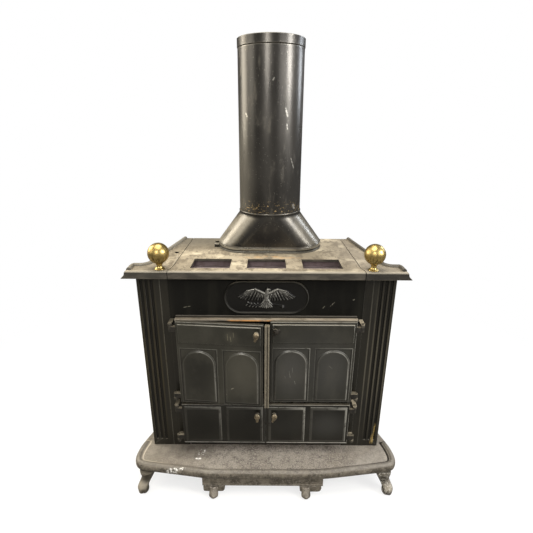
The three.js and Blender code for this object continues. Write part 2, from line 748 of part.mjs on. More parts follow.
// the raised bead follows the side edge, swings round the shoulder and runs out over the wing
function topBead() {
  const z = topSurface + beadRise - beadRadius / 2;
  const inset = beadRadius + 0.5;
  const at = (x, y) => new THREE.Vector3(x, y, z);
  const path = new THREE.CurvePath();
  const sideEnd = at(topSideX - inset, topSideY);
  const shoulderEnd = at(shoulderX + 14, wingBackY - inset);
  const tipStart = at(wingHalfWidth - 18, wingBackY - inset);
  const tipEnd = at(wingHalfWidth - inset - 4, wingBackY - 20);
  path.add(new THREE.LineCurve3(at(topBackX - inset, topBackY - beadRadius), sideEnd));
  path.add(new THREE.QuadraticBezierCurve3(sideEnd, at(shoulderX - 5, wingBackY - inset), shoulderEnd));
  path.add(new THREE.LineCurve3(shoulderEnd, tipStart));
  path.add(new THREE.QuadraticBezierCurve3(tipStart, at(wingHalfWidth - inset - 4, wingBackY - inset), tipEnd));
  path.add(new THREE.LineCurve3(tipEnd, at(wingHalfWidth - inset - 4, -lipReach + lipBevel + beadRadius)));
  const section = new THREE.Shape();
  section.absarc(0, 0, beadRadius, 0, 2 * Math.PI, false);
  const bead = new THREE.ExtrudeGeometry(section, { steps: 32, curveSegments: 3, extrudePath: path });
  return toSolid(bead);
}

function sideTop() {
  const whole = plate(sideTopPlan(), lipFoot, topSurface, 5);
  const shaped = whole.intersect(frontLipRegion(2 * halfWidth)).intersect(wingEndRegion());
  const hollow = block(
    0, wingHalfWidth - lipWall - 1, -lipReach + lipWall, bodyDepth + lipReach, lipFoot - 1, plateUnder
  );
  const bead = topBead();
  return shaped.subtract(hollow).add(bead);
}

const ventBoxes = [-1, 0, 1].map((i) => ({
  x0: i * ventPitch - ventWidth / 2,
  x1: i * ventPitch + ventWidth / 2,
  y0: ventCentreY - ventDepth / 2,
  y1: ventCentreY + ventDepth / 2,
}));

function flueBore(height0, height1) {
  const bore = stadium(bootBaseHalfLength - collarWall, bootBaseHalfDepth - collarWall);
  return plate(bore, height0, height1, 9).translate([flueX, flueY, 0]);
}

function centreTop() {
  const right = seamAt(-seatGap / 2);
  const left = right.map(([x, y]) => [-x, y]).reverse();
  const whole = plate(outline([...right, ...left]), lipFoot, topSurface);
  const hollow = block(
    -halfWidth, halfWidth, -lipReach + lipWall, bodyDepth + lipReach, lipFoot - 1, plateUnder
  );
  const vents = ventBoxes.map(({ x0, x1, y0, y1 }) => block(x0, x1, y0, y1, plateUnder - 1, topSurface + 1));
  const shaped = whole.intersect(frontLipRegion(2 * halfWidth)).subtract(hollow);
  return cutAll(shaped, [...vents, flueBore(plateUnder - 1, topSurface + 1)]);
}

// a shallow tray hung under the vents, its floor cast with rolling ribs
function ventTray() {
  const z1 = trayTop;
  const z0 = trayFoot;
  const x1 = trayHalfWidth;
  const y0 = ventCentreY - ventDepth / 2 - trayMargin;
  const y1 = ventCentreY + ventDepth / 2 + trayMargin;
  const shell = block(-x1, x1, y0, y1, z0, z1)
    .subtract(block(-x1 + trayWall, x1 - trayWall, y0 + trayWall, y1 - trayWall, z0 + trayWall, z1 + 1));
  const pitch = ventDepth / louvreCount;
  const ribs = Array.from({ length: louvreCount }, (_, i) => {
    const y = ventCentreY - ventDepth / 2 + pitch * (i + 0.5);
    const from = new THREE.Vector3(-x1 + 1, y, z0 + trayWall - 1);
    const to = new THREE.Vector3(x1 - 1, y, z0 + trayWall - 1);
    return rod(pitch * 0.36, from, to, 10);
  });
  const under = block(-x1, x1, y0, y1, z0 - 20, z0);
  return join([shell, ...ribs]).subtract(under);
}

// ---------------------------------------------------------------- flue
function flueCollar() {
  const outer = stadium(bootBaseHalfLength, bootBaseHalfDepth);
  const wall = plate(outer, collarFoot, collarTop, 9).translate([flueX, flueY, 0]);
  const earX = flueX - bootBaseHalfLength;
  const ear = block(
    earX - earReach, earX + collarWall, flueY - earLength / 2, flueY + earLength / 2,
    collarFoot, collarFoot + earHeight
  );
  const boltHole = uprightRod(
    boltRadius + pinClearance, earX - earReach / 2, flueY, collarFoot - 1, collarFoot + earHeight + 1
  );
  return join([wall, ear]).subtract(flueBore(collarFoot - 1, collarTop + 1)).subtract(boltHole);
}

function collarBolt() {
  const x = flueX - bootBaseHalfLength - earReach / 2;
  const z1 = collarFoot + earHeight;
  const shank = uprightRod(boltRadius, x, flueY, collarFoot + 0.5, z1 + 1, 12);
  const head = uprightRod(boltRadius * 1.7, x, flueY, z1 + seatGap, z1 + seatGap + 5, 6);
  return shank.add(head);
}

// points round a stadium that morphs into a circle, each ring with the same count
function flueRing(halfLength, halfDepth, z) {
  const reach = halfLength - halfDepth;
  return Array.from({ length: flueSides }, (_, i) => {
    const turn = (2 * Math.PI * (i + 0.5)) / flueSides;
    const x = halfDepth * Math.cos(turn) + reach * Math.sign(Math.cos(turn));
    return new THREE.Vector3(flueX + x, flueY + halfDepth * Math.sin(turn), z);
  });
}

function flueBoot() {
  const neckFoot = bootTop - bootNeckHeight;
  const outer = [
    flueRing(bootBaseHalfLength, bootBaseHalfDepth, bootFoot),
    flueRing(bootBaseHalfLength, bootBaseHalfDepth, bootFoot + 3),
    flueRing(bootNeckRadius, bootNeckRadius, neckFoot),
    flueRing(bootNeckRadius, bootNeckRadius, bootTop),
  ];
  const innerNeck = bootNeckRadius - bootWall;
  const seat = bootTop - pipeLap;
  const share = (seat - bootFoot) / (neckFoot - bootFoot);
  const seatLength = THREE.MathUtils.lerp(bootBaseHalfLength, bootNeckRadius, share) - bootWall;
  const inner = [
    flueRing(innerNeck, innerNeck, bootTop),
    flueRing(innerNeck, innerNeck, neckFoot),
    flueRing(Math.max(seatLength, innerNeck), innerNeck, seat),
    flueRing(bootBaseHalfLength - bootWall, bootBaseHalfDepth - bootWall, bootFoot),
  ];
  return skin([...outer, ...inner], true);
}

function stovepipe() {
  const foot = bootTop - pipeLap;
  const inner = pipeRadius - pipeWall;
  const band = pipeRadius + pipeBandProud;
  const bandFoot = pipeTop - pipeBandHeight;
  const profile = [
    [inner, foot], [pipeRadius, foot], [pipeRadius, bandFoot - 1], [band, bandFoot],
    [band, pipeTop - 1], [band - 1, pipeTop], [inner, pipeTop], [inner, foot],
  ];
  return revolve(profile, flueSides, Math.PI / flueSides).translate([flueX, flueY, 0]);
}

// ---------------------------------------------------------------- ball finials
function finialBase() {
  const foot = topSurface + seatGap;
  const cupTop = ballCentreZ - Math.sqrt(ballRadius ** 2 - finialCupRadius ** 2) + 2;
  const profile = [
    [0, foot], [finialFootRadius, foot], [finialFootRadius, foot + 2], [finialFootRadius - 4, foot + 4],
    [finialNeckRadius + 1, foot + 8], [finialNeckRadius, foot + 12], [finialCupRadius, cupTop], [0, cupTop],
  ];
  const socket = new THREE.SphereGeometry(ballRadius + seatGap, 32, 16).translate(0, 0, ballCentreZ);
  return revolve(profile, 16).subtract(toSolid(socket));
}

function finialBall() {
  return toSolid(new THREE.SphereGeometry(ballRadius, 24, 15).rotateX(Math.PI / 2).translate(0, 0, ballCentreZ));
}

// ---------------------------------------------------------------- doors
const doorLevels = {
  upper: { z0: upperDoorFoot, z1: upperDoorTop },
  lower: { z0: lowerDoorFoot, z1: lowerDoorTop },
};

function archField(x0, x1, z0, z1) {
  const radius = (x1 - x0) / 2;
  const rise = radius * 0.95;
  const shape = new THREE.Shape();
  shape.moveTo(x0, z0);
  shape.lineTo(x1, z0);
  shape.lineTo(x1, z1 - rise);
  shape.absellipse((x0 + x1) / 2, z1 - rise, radius, rise, 0, Math.PI, false);
  shape.closePath();
  return shape;
}

// a half-round bead framing a field, mitred by two stepped plates
function frameBead(x0, x1, z0, z1, yPlate) {
  const ring = (inset, proud) =>
    upright(rectangle(x0 + inset, x1 - inset, z0 + inset, z1 - inset), yPlate - proud, yPlate + 1)
      .subtract(upright(
        rectangle(x0 + beadWidth - inset, x1 - beadWidth + inset, z0 + beadWidth - inset, z1 - beadWidth + inset),
        yPlate - proud - 1, yPlate + 2
      ));
  return ring(0, beadProud / 2).add(ring(beadWidth / 4, beadProud));
}

// the door drawn closed on the right-hand side
function doorLeaf(level, inner) {
  const { z0, z1 } = doorLevels[level];
  const face = doorFront + panelProud;
  const slab = block(inner, doorHalfWidth, face, doorBack, z0, z1);
  const middle = (inner + doorHalfWidth) / 2;
  const columns = [
    [inner + doorMargin, middle - stileWidth / 2],
    [middle + stileWidth / 2, doorHalfWidth - doorMargin],
  ];
  const parts = [slab];
  if (level === 'upper') {
    const wide = rectangle(inner + doorMargin, doorHalfWidth - doorMargin, topPanelFoot, z1 - doorMargin);
    parts.push(raisedPanel(wide, face, panelProud, panelBevel));
    columns.forEach(([a, b]) => {
      parts.push(frameBead(a, b, z0 + 2, archPanelHead, face));
      const arch = archField(a + beadWidth + 1, b - beadWidth - 1, z0 + doorMargin + 1, archPanelHead - beadWidth - 1);
      parts.push(raisedPanel(arch, face, panelProud, panelBevel));
    });
  } else {
    columns.forEach(([a, b]) => {
      const field = rectangle(a + 2, b - 2, z0 + doorMargin + 2, z1 - doorMargin - 2);
      parts.push(raisedPanel(field, face, panelProud, panelBevel));
    });
    const foot = rectangle(inner + 1, doorHalfWidth - 1, z0, z0 + beadWidth);
    parts.push(raisedPanel(foot, face, beadProud, beadProud));
  }
  hinges.filter((hinge) => hinge.door === level).forEach((hinge) => {
    parts.push(doorKnuckle(hinge, doorHalfWidth));
  });
  const latchZ = level === 'upper' ? upperLatchZ : lowerLatchZ;
  parts.push(acrossRod(9, latchX, latchZ, doorFront - 3, doorBack - 2, 14));
  const bore = acrossRod(shaftRadius + pinClearance, latchX, latchZ, doorFront - 6, doorBack + 2, 12);
  return join(parts).subtract(bore);
}

// the strip on the upper left door that fills the joint, with a groove down its middle
function astragal() {
  const { z0, z1 } = doorLevels.upper;
  const x0 = -leftUpperInner - 4;
  const x1 = rightUpperInner - pinClearance;
  const y0 = doorFront - astragalProud;
  const strip = block(x0, x1, y0, doorBack - 3, z0, z1);
  const middle = (x0 + x1) / 2 + 2;
  const groove = block(middle - 1.5, middle + 1.5, y0 - 1, y0 + 2.5, z0 - 1, z1 + 1);
  return strip.subtract(groove);
}

// ---------------------------------------------------------------- hinge pins
function hingePin(hinge) {
  const [k0, k1] = knuckleSpan(hinge);
  const head = hinge.below
    ? [hinge.z1 + seatGap, hinge.z1 + seatGap + pinHeadHeight]
    : [hinge.z0 - seatGap - pinHeadHeight, hinge.z0 - seatGap];
  const tip = hinge.below ? k0 + 1 : k1 - 1;
  const shank = hinge.below ? [tip, head[0] + 1] : [head[1] - 1, tip];
  return uprightRod(pinRadius, hingeX, hingeY, shank[0], shank[1], 12)
    .add(uprightRod(pinHeadRadius, hingeX, hingeY, head[0], head[1], 12));
}

// ---------------------------------------------------------------- latches
// handle drawn upright round its shaft at x = 0, z = 0, the tongue pointing to +X
function latchHandle(tongueY) {
  const boss = doorFront - 3 - seatGap;
  const gripBack = boss - handleStandOff;
  const grip = new THREE.Shape();
  const headCentre = handleHeadHeight / 2 + 1;
  grip.moveTo(handleTailRadius, -handleTailDrop);
  grip.absarc(0, -handleTailDrop, handleTailRadius, 0, -Math.PI, true);
  grip.bezierCurveTo(-5, 0, -handleHeadWidth / 2, headCentre - 10, -handleHeadWidth / 2, headCentre);
  grip.absellipse(0, headCentre, handleHeadWidth / 2, handleHeadHeight / 2, Math.PI, 0, true);
  grip.bezierCurveTo(handleHeadWidth / 2, headCentre - 10, 5, 0, handleTailRadius, -handleTailDrop);
  const leaf = new THREE.ExtrudeGeometry(grip, {
    depth: handleThickness - 4, bevelThickness: 2, bevelSize: 2.5, bevelOffset: -2.5, bevelSegments: 1, curveSegments: 4,
  });
  leaf.rotateX(Math.PI / 2).translate(0, gripBack, 0);
  const end = tongueY + tongueThickness + seatGap;
  return join([
    toSolid(leaf),
    acrossRod(shaftRadius + 2, 0, 0, gripBack - 1, boss, 10),
    acrossRod(shaftRadius, 0, 0, boss - 1, end + 1, 10),
    acrossRod(rivetRadius, 0, 0, end, end + rivetHeight, 10),
  ]);
}

function latchTongue(tongueY, length) {
  const shape = new THREE.Shape();
  const half = tongueWidth / 2;
  shape.moveTo(0, -half);
  shape.lineTo(length - half / 2, -half / 2);
  shape.absarc(length - half / 2, 0, half / 2, -Math.PI / 2, Math.PI / 2, false);
  shape.lineTo(0, half);
  shape.absarc(0, 0, half, Math.PI / 2, (3 * Math.PI) / 2, false);
  const bore = acrossRod(shaftRadius + seatGap, 0, 0, tongueY - 1, tongueY + tongueThickness + 1, 10);
  return upright(shape, tongueY, tongueY + tongueThickness, 4).subtract(bore);
}

// ---------------------------------------------------------------- grate
function fireGrate() {
  const foot = hearthTop + seatGap;
  const z0 = foot + grateLegHeight;
  const z1 = z0 + grateBarHeight;
  const y0 = grateY - grateDepth / 2;
  const y1 = grateY + grateDepth / 2;
  const pitch = (grateWidth - grateBarWidth) / (grateBars - 1);
  const bars = Array.from({ length: grateBars }, (_, i) => {
    const x = -grateWidth / 2 + i * pitch;
    return block(x, x + grateBarWidth, y0, y1, z0, z1)
      .add(block(x, x + grateBarWidth, y0, y0 + grateBarWidth, z0, z1 + grateHornHeight));
  });
  const railEnds = [y0, y1 - grateBarWidth];
  const rails = railEnds.map((y) => block(-grateWidth / 2, grateWidth / 2, y, y + grateBarWidth, z0, z1));
  const legs = [-1, 1].flatMap((sign) => railEnds.map((y) => {
    const x = sign * (grateWidth / 2 - grateLegInset);
    return block(x - grateLegWidth / 2, x + grateLegWidth / 2, y, y + grateBarWidth, foot, z0 + 1);
  }));
  return join([...bars, ...rails, ...legs]);
}

// ---------------------------------------------------------------- assembly
addPiece('hearth_plate', hearthPlate(), greyIron());
addPiece('front_skirt', frontSkirt(), greyIron());
sides.forEach(({ word, sign }) => {
  addPiece(`bracket_leg_${word}`, bracketLeg(word, sign), greyIron());
  const frontLeg = cornerLeg(sign * legTopX, -legTopReach, sign * footX, -footReach, rimFoot - seatGap);
  const rearLeg = cornerLeg(sign * rearLegTopX, rearLegTopY, sign * rearFootX, rearFootY, plateFoot - seatGap);
  addPiece(`corner_leg_${word}`, frontLeg, greyIron());
  addPiece(`rear_leg_${word}`, rearLeg, greyIron());
  addPiece(`pilaster_${word}`, sided(sign, pilaster()), blackIron());
  addPiece(`side_panel_${word}`, sided(sign, sidePanel()), blackIron());
});
addPiece('header_panel', headerPanel(), blackIron());
addPiece('eagle_medallion', eagleMedallion(), blackIron());
addPiece('back_panel', backPanel(), blackIron());
addPiece('ash_guard', ashGuard(), blackIron());
addPiece('fire_grate', fireGrate(), blackIron());

const screwHole = uprightRod(screwHoleRadius, screwHoleX, screwHoleY, plateUnder - 1, topSurface + 1, 12);
addPiece('top_centre', centreTop(), dustyIron());
addPiece('top_left', mirrorX(sideTop()).subtract(screwHole), dustyIron());
addPiece('top_right', sideTop(), dustyIron());
addPiece('vent_tray', ventTray(), blackIron());

addPiece('flue_collar', flueCollar(), blackIron());
addPiece('collar_bolt', collarBolt(), paleIron());
addPiece('flue_boot', flueBoot(), pipeSteel());
addPiece('stovepipe', stovepipe(), pipeSteel());

sides.forEach(({ word, sign }) => {
  const finial = new THREE.Group();
  finial.position.set(sign * ballX, -ballReach, 0);
  addPiece(`finial_base_${word}`, finialBase(), brass(), finial);
  addPiece(`finial_ball_${word}`, finialBall(), brass(), finial);
  stove.add(finial);
});

// turn in degrees of each handle from upright, clockwise seen from the front
const handleTurns = { upper: { left: 14, right: 45 }, lower: { left: 2, right: 32 } };

sides.forEach(({ word, sign }) => {
  ['upper', 'lower'].forEach((level) => {
    const inner = level === 'lower' ? lowerInner : sign < 0 ? leftUpperInner : rightUpperInner;
    const leaf = new THREE.Group();
    leaf.position.set(sign * hingeX, hingeY, 0);
    if (level === 'upper' && sign < 0) leaf.rotation.z = -ajarAngle * degrees;
    const hung = (solid) => solid.translate([-sign * hingeX, -hingeY, 0]);
    const flat = sided(sign, doorLeaf(level, inner));
    const solid = level === 'upper' && sign < 0 ? flat.add(astragal()) : flat;
    addPiece(`door_${level}_${word}`, hung(solid), blackIron(), leaf);

    const upper = level === 'upper';
    const tongueY = upper ? upperTongueY : lowerTongueY;
    const latch = new THREE.Group();
    latch.position.set(-sign * (hingeX - latchX), -hingeY, upper ? upperLatchZ : lowerLatchZ);
    const turned = latchHandle(tongueY).rotate([0, handleTurns[level][word], 0]);
    addPiece(`latch_handle_${level}_${word}`, turned, paleIron(), latch);
    const tongue = sided(sign, latchTongue(tongueY, upper ? upperTongueLength : lowerTongueLength));
    addPiece(`latch_tongue_${level}_${word}`, tongue, blackIron(), latch);
    leaf.add(latch);
    stove.add(leaf);
  });
  hinges.forEach((hinge) => {
    addPiece(`hinge_pin_${hinge.word}_${word}`, sided(sign, hingePin(hinge)), paleIron());
  });
});

// centre the plan on the origin: the skirt's toes and the rim reach forward, the boot's pipe back
const bounds = new THREE.Box3().setFromObject(stove);
stove.position.y = -(bounds.min.y + bounds.max.y) / 2;

const whole = new THREE.Group();
whole.add(stove);

export default whole;
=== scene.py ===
import math

import bmesh
import bpy
import numpy as np
from mathutils import Matrix, Vector, noise


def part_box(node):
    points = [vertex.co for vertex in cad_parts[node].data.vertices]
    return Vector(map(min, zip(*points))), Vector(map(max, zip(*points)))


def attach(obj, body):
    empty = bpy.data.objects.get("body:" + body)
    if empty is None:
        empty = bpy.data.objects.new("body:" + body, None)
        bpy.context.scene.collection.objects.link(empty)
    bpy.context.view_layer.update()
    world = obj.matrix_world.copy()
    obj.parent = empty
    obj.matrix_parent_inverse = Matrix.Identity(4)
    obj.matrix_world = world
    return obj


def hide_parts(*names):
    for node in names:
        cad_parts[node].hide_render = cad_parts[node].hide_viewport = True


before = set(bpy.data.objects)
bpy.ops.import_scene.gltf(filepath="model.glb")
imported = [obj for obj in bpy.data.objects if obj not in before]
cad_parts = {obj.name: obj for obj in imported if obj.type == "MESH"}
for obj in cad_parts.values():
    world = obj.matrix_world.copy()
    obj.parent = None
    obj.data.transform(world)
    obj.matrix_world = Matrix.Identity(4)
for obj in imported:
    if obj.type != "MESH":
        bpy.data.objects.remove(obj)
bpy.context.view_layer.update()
print("frame loaded")

# every size below is in millimetres: x from the middle, y back from the pilasters' face, z up from the floor
mm = 0.001
pilasterSheet = 14.3
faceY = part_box("side_panel_left")[0].y - pilasterSheet * mm
sides = (("left", -1), ("right", 1))
levels = ("upper", "lower")


def place(point):
    return Vector((point[0] * mm, point[1] * mm + faceY, point[2] * mm))


def toScene(name, data):
    item = bpy.data.objects.new(name, data)
    bpy.context.scene.collection.objects.link(item)
    return item


# ---- camera

viewer = {"at": (0.8, -1122.2, 1178.4), "down": 0.3457, "turn": 0.0009, "roll": 0.0056, "lens": 26.68, "sensor": 36}


def setCamera():
    data = bpy.data.cameras.new("camera")
    data.lens = viewer["lens"]
    data.sensor_width = viewer["sensor"]
    camera = toScene("camera", data)
    turn = Matrix.Rotation(viewer["turn"], 4, "Z")
    tilt = Matrix.Rotation(math.pi / 2 - viewer["down"], 4, "X")
    roll = Matrix.Rotation(viewer["roll"], 4, "Z")
    camera.matrix_world = Matrix.Translation(place(viewer["at"])) @ turn @ tilt @ roll
    bpy.context.scene.camera = camera


setCamera()
bpy.context.scene.view_settings.view_transform = "Standard"


# ---- shader helpers

class Wire:  # one output socket and the maths that the finishes use
    def __init__(self, paint, socket):
        self.paint = paint
        self.socket = socket

    def __add__(self, other):
        return self.paint.maths("ADD", self, other)

    def __sub__(self, other):
        return self.paint.maths("SUBTRACT", self, other)

    def __rsub__(self, other):
        return self.paint.maths("SUBTRACT", other, self)

    def __mul__(self, other):
        return self.paint.maths("MULTIPLY", self, other)

    def __truediv__(self, other):
        return self.paint.maths("DIVIDE", self, other)

    def __neg__(self):
        return self * -1

    def __abs__(self):
        return self.paint.maths("ABSOLUTE", self)

    __radd__, __rmul__ = __add__, __mul__


class Paint:  # a material or a world being wired
    def __init__(self, name, store=bpy.data.materials):
        self.owner = store.new(name)
        self.owner.use_nodes = True
        self.tree = self.owner.node_tree
        self.shader = self.tree.nodes.get("Principled BSDF")

    def feed(self, socket, value):
        if isinstance(value, Wire):
            self.tree.links.new(value.socket, socket)
        else:
            socket.default_value = (*value, 1) if socket.type == "RGBA" else value

    def node(self, kind, settings=None, out=0, **inputs):  # an input by its name, or by number as i0, i1
        item = self.tree.nodes.new(kind)
        for key, value in (settings or {}).items():
            setattr(item, key, value)
        for key, value in inputs.items():
            self.feed(item.inputs[int(key[1:]) if key[1:].isdigit() else key], value)
        return Wire(self, item.outputs[out])

    def maths(self, operation, a, b=0.0):
        return self.node("ShaderNodeMath", {"operation": operation}, i0=a, i1=b)

    def smooth(self, value, low, high):  # 0 at low, 1 at high
        return self.node("ShaderNodeMapRange", {"interpolation_type": "SMOOTHSTEP"}, i0=value, i1=low, i2=high)

    def blend(self, factor, a, b):
        return self.node("ShaderNodeMix", {"data_type": "RGBA"}, out=2, i0=factor, i6=a, i7=b)

    def layers(self, tone, *coats):  # each coat is how much of it lies there and its colour
        for amount, colour in coats:
            if amount:
                tone = self.blend(amount, tone, colour)
        return tone

    def axes(self, output):
        item = self.node("ShaderNodeSeparateXYZ", i0=self.node("ShaderNodeTexCoord", out=output)).socket.node
        return [Wire(self, socket) for socket in item.outputs]

    def at(self):  # x, y and z of the spot
        return self.axes("Object")

    def facing(self):  # x, y and z of the surface's own normal
        return self.axes("Normal")

    def grain(self, scale, detail=4.0, stretch=(1, 1, 1), rough=0.55):
        where = self.node("ShaderNodeTexCoord", out="Object")
        spot = self.node("ShaderNodeVectorMath", {"operation": "MULTIPLY"}, i0=where, i1=stretch)
        return self.node("ShaderNodeTexNoise", Vector=spot, Scale=scale, Detail=detail, Roughness=rough)

    def patch(self, scale, low, high, detail=4.0, stretch=(1, 1, 1), rough=0.55):
        return self.smooth(self.grain(scale, detail, stretch, rough), low, high)

    def mark(self, name):
        return self.node("ShaderNodeAttribute", {"attribute_name": name}, out="Fac")

    def far(self, u, v):  # distance from the middle of two axes
        return self.maths("SQRT", u * u + v * v)

    def pool(self, x0, z0, wide, high):  # 1 at a spot of the front plane, fading to 0 at its edge
        x, _, z = self.at()
        return 1 - self.smooth(self.far((x - x0 * mm) / (wide * mm), (z - z0 * mm) / (high * mm)), 0.1, 1)

    def puddle(self, x0, y0, wide, deep):  # the same on a level plane
        x, y, _ = self.at()
        return 1 - self.smooth(self.far((x - x0 * mm) / (wide * mm), (y - faceY - y0 * mm) / (deep * mm)), 0.1, 1)

    def stroke(self, start, end, width):  # 1 on a thin line between two points of the front plane
        x, _, z = self.at()
        run = math.hypot(end[0] - start[0], end[1] - start[1]) * mm
        ux, uz = (end[0] - start[0]) * mm / run, (end[1] - start[1]) * mm / run
        dx, dz = x - start[0] * mm, z - start[1] * mm
        off = abs(dx * ux + dz * uz - run / 2)
        thin = 1 - self.smooth(abs(dx * uz - dz * ux), width * mm / 2, width * mm)
        return thin * (1 - self.smooth(off, run * 0.3, run * 0.5))

    def dress(self, tone, rough, metal, height, strength, depth, shine=0.5):  # depth of the bump in millimetres
        bump = self.node("ShaderNodeBump", Height=height, Strength=strength, Distance=depth * mm)
        values = {"Base Color": tone, "Roughness": rough, "Metallic": metal, "Normal": bump}
        for name, value in {**values, "Specular IOR Level": shine}.items():
            self.feed(self.shader.inputs[name], value)
        return self.owner


# ---- finishes

def stoveBlack(name, dark=(0.0052, 0.0052, 0.0045), pale=(0.014, 0.0135, 0.0108), rough=0.4, edgeWearAndHighlight=0.6, dusty=0.75,
               strokes=(), shine=0.5, pools=(), cloudiness=0.0):
    paint = Paint(name)
    cloud = paint.patch(5, 0.3, 0.7)
    streak = paint.patch(26, 0.42, 0.7, 4, (1, 1, 0.12))
    cloudy = paint.patch(17, 0.42, 0.66, 5, (1, 1, 0.6), 0.65)
    nx, _, nz = paint.facing()
    # edges lightened: edge wear plus a painted highlight, strongest where they face up and to the right
    lit = paint.smooth(nx + nz * 0.75, 0.08, 0.5) * 0.85 + 0.15
    wearAndHighlight = paint.smooth(paint.mark("crest"), 0.03, 0.6) * lit * paint.patch(60, 0.2, 0.5)
    speck = paint.patch(520, 0.68, 0.76, 2) * paint.patch(22, 0.52, 0.7)
    dust = dustOn(paint, dusty)
    flaky = paint.patch(190, 0.4, 0.52, 3, rough=0.8)
    tone = paint.layers(
        paint.blend(cloud, dark, pale),
        (streak * 0.3, (0.024, 0.0225, 0.016)),
        # painted patches of sheen and shade on the front
        *((paint.pool(*spot) * amount, shade) for *spot, amount, shade in pools),
        (cloudiness and cloudy * cloudiness, (0.075, 0.07, 0.056)),
        (wearAndHighlight * edgeWearAndHighlight, (0.25, 0.243, 0.215)),
        # painted shade: creases darkened to near black
        (paint.mark("hollow") * 0.85, (0.003, 0.003, 0.0025)),
        (speck * 0.5, (0.16, 0.145, 0.11)),
        (dust, (0.2, 0.175, 0.13)),
        *((paint.stroke(*line) * flaky, shade) for *line, shade in strokes))
    gloss = rough + cloud * 0.06 + streak * 0.05 + dust * 0.3 - wearAndHighlight * 0.06
    height = paint.grain(420, 3) * 0.4 + paint.grain(1400, 2) * 0.2 + paint.grain(40, 3) * 1.2
    return paint.dress(tone, gloss, 0.12, height, 0.28, 0.5, shine)


def dustOn(paint, amount):  # more on what faces up, in patches
    return paint.smooth(paint.facing()[2], 0.55, 0.95) * (paint.patch(28, 0.3, 0.62, 5) * 0.5 + 0.5) * amount


def ledgeIron():  # cream dust along the front of its top with painted shade on the back strip against the header, grey on its face, a rust line under the middle
    paint = Paint("ledgeIron")
    x, y, _ = paint.at()
    up = paint.smooth(paint.facing()[2], 0.4, 0.8)
    # painted shade: the back of the ledge's top, against the header, kept near black
    front = paint.smooth(y, faceY - 0.007, faceY - 0.013)
    patch = paint.patch(40, 0.36, 0.62, 5, (0.35, 1, 1), 0.7)
    dust = paint.blend(patch, (0.22, 0.185, 0.135), (0.46, 0.39, 0.29))
    right = paint.smooth(x, -0.27, -0.05) * 0.5 + 0.5
    face = paint.blend(patch, (0.05, 0.043, 0.033), (0.15, 0.13, 0.105))
    rust = paint.stroke((-135, 600.6), (40, 600.6), 5) * paint.patch(70, 0.3, 0.5, 3, (0.3, 1, 1))
    tone = paint.layers(
        paint.blend(up, face, paint.blend(front * right, (0.022, 0.018, 0.012), dust)),
        # front edge lighter: edge wear plus a painted highlight
        (paint.mark("crest") * 0.35, (0.3, 0.26, 0.2)),
        (rust, (0.55, 0.27, 0.085)))
    return paint.dress(tone, 0.55, 0.1, paint.grain(300) * 0.7 + paint.grain(40, 3), 0.35, 0.6)


def eagleIron():  # black ground, the high parts of the relief rubbed to silver, lighter still where they face up and right: wear plus a painted highlight
    paint = Paint("eagleIron")
    y = paint.at()[1]
    nx, _, nz = paint.facing()
    rise = paint.smooth(y, faceY + (medallion["face"] - 1.4) * mm, faceY + (medallion["face"] - 5.5) * mm)
    # painted highlight: the relief lighter where it faces up and to the right
    lit = paint.smooth(nx * 0.5 + nz, -0.05, 0.4) * 0.75 + 0.25
    patch = paint.patch(70, 0.36, 0.58, 5, rough=0.7)
    silverAndHighlight = rise * lit * (patch * 0.75 + 0.25) + paint.mark("crest") * 0.35 * rise
    tone = paint.layers(
        paint.blend(silverAndHighlight, (0.004, 0.0039, 0.0033), (0.42, 0.41, 0.37)),
        # painted shade: creases of the relief darkened
        (paint.mark("hollow") * 0.9, (0.0015, 0.0015, 0.0012)))
    height = paint.grain(420, 3) * 0.4 + paint.grain(90, 3)
    return paint.dress(tone, 0.42 - silverAndHighlight * 0.1, silverAndHighlight * 0.6, height, 0.3, 0.5, 0.3)


# dashes of old white paint on the rim and the plate: two ends (x, y), a width and how sparse they are
hearthSpecks = [((-336, -112), (-262, -112), 9, 0.5), ((-244, -63), (-220, -63), 9, 0.42),
                ((-238, -50), (-208, -18), 32, 0.54)]


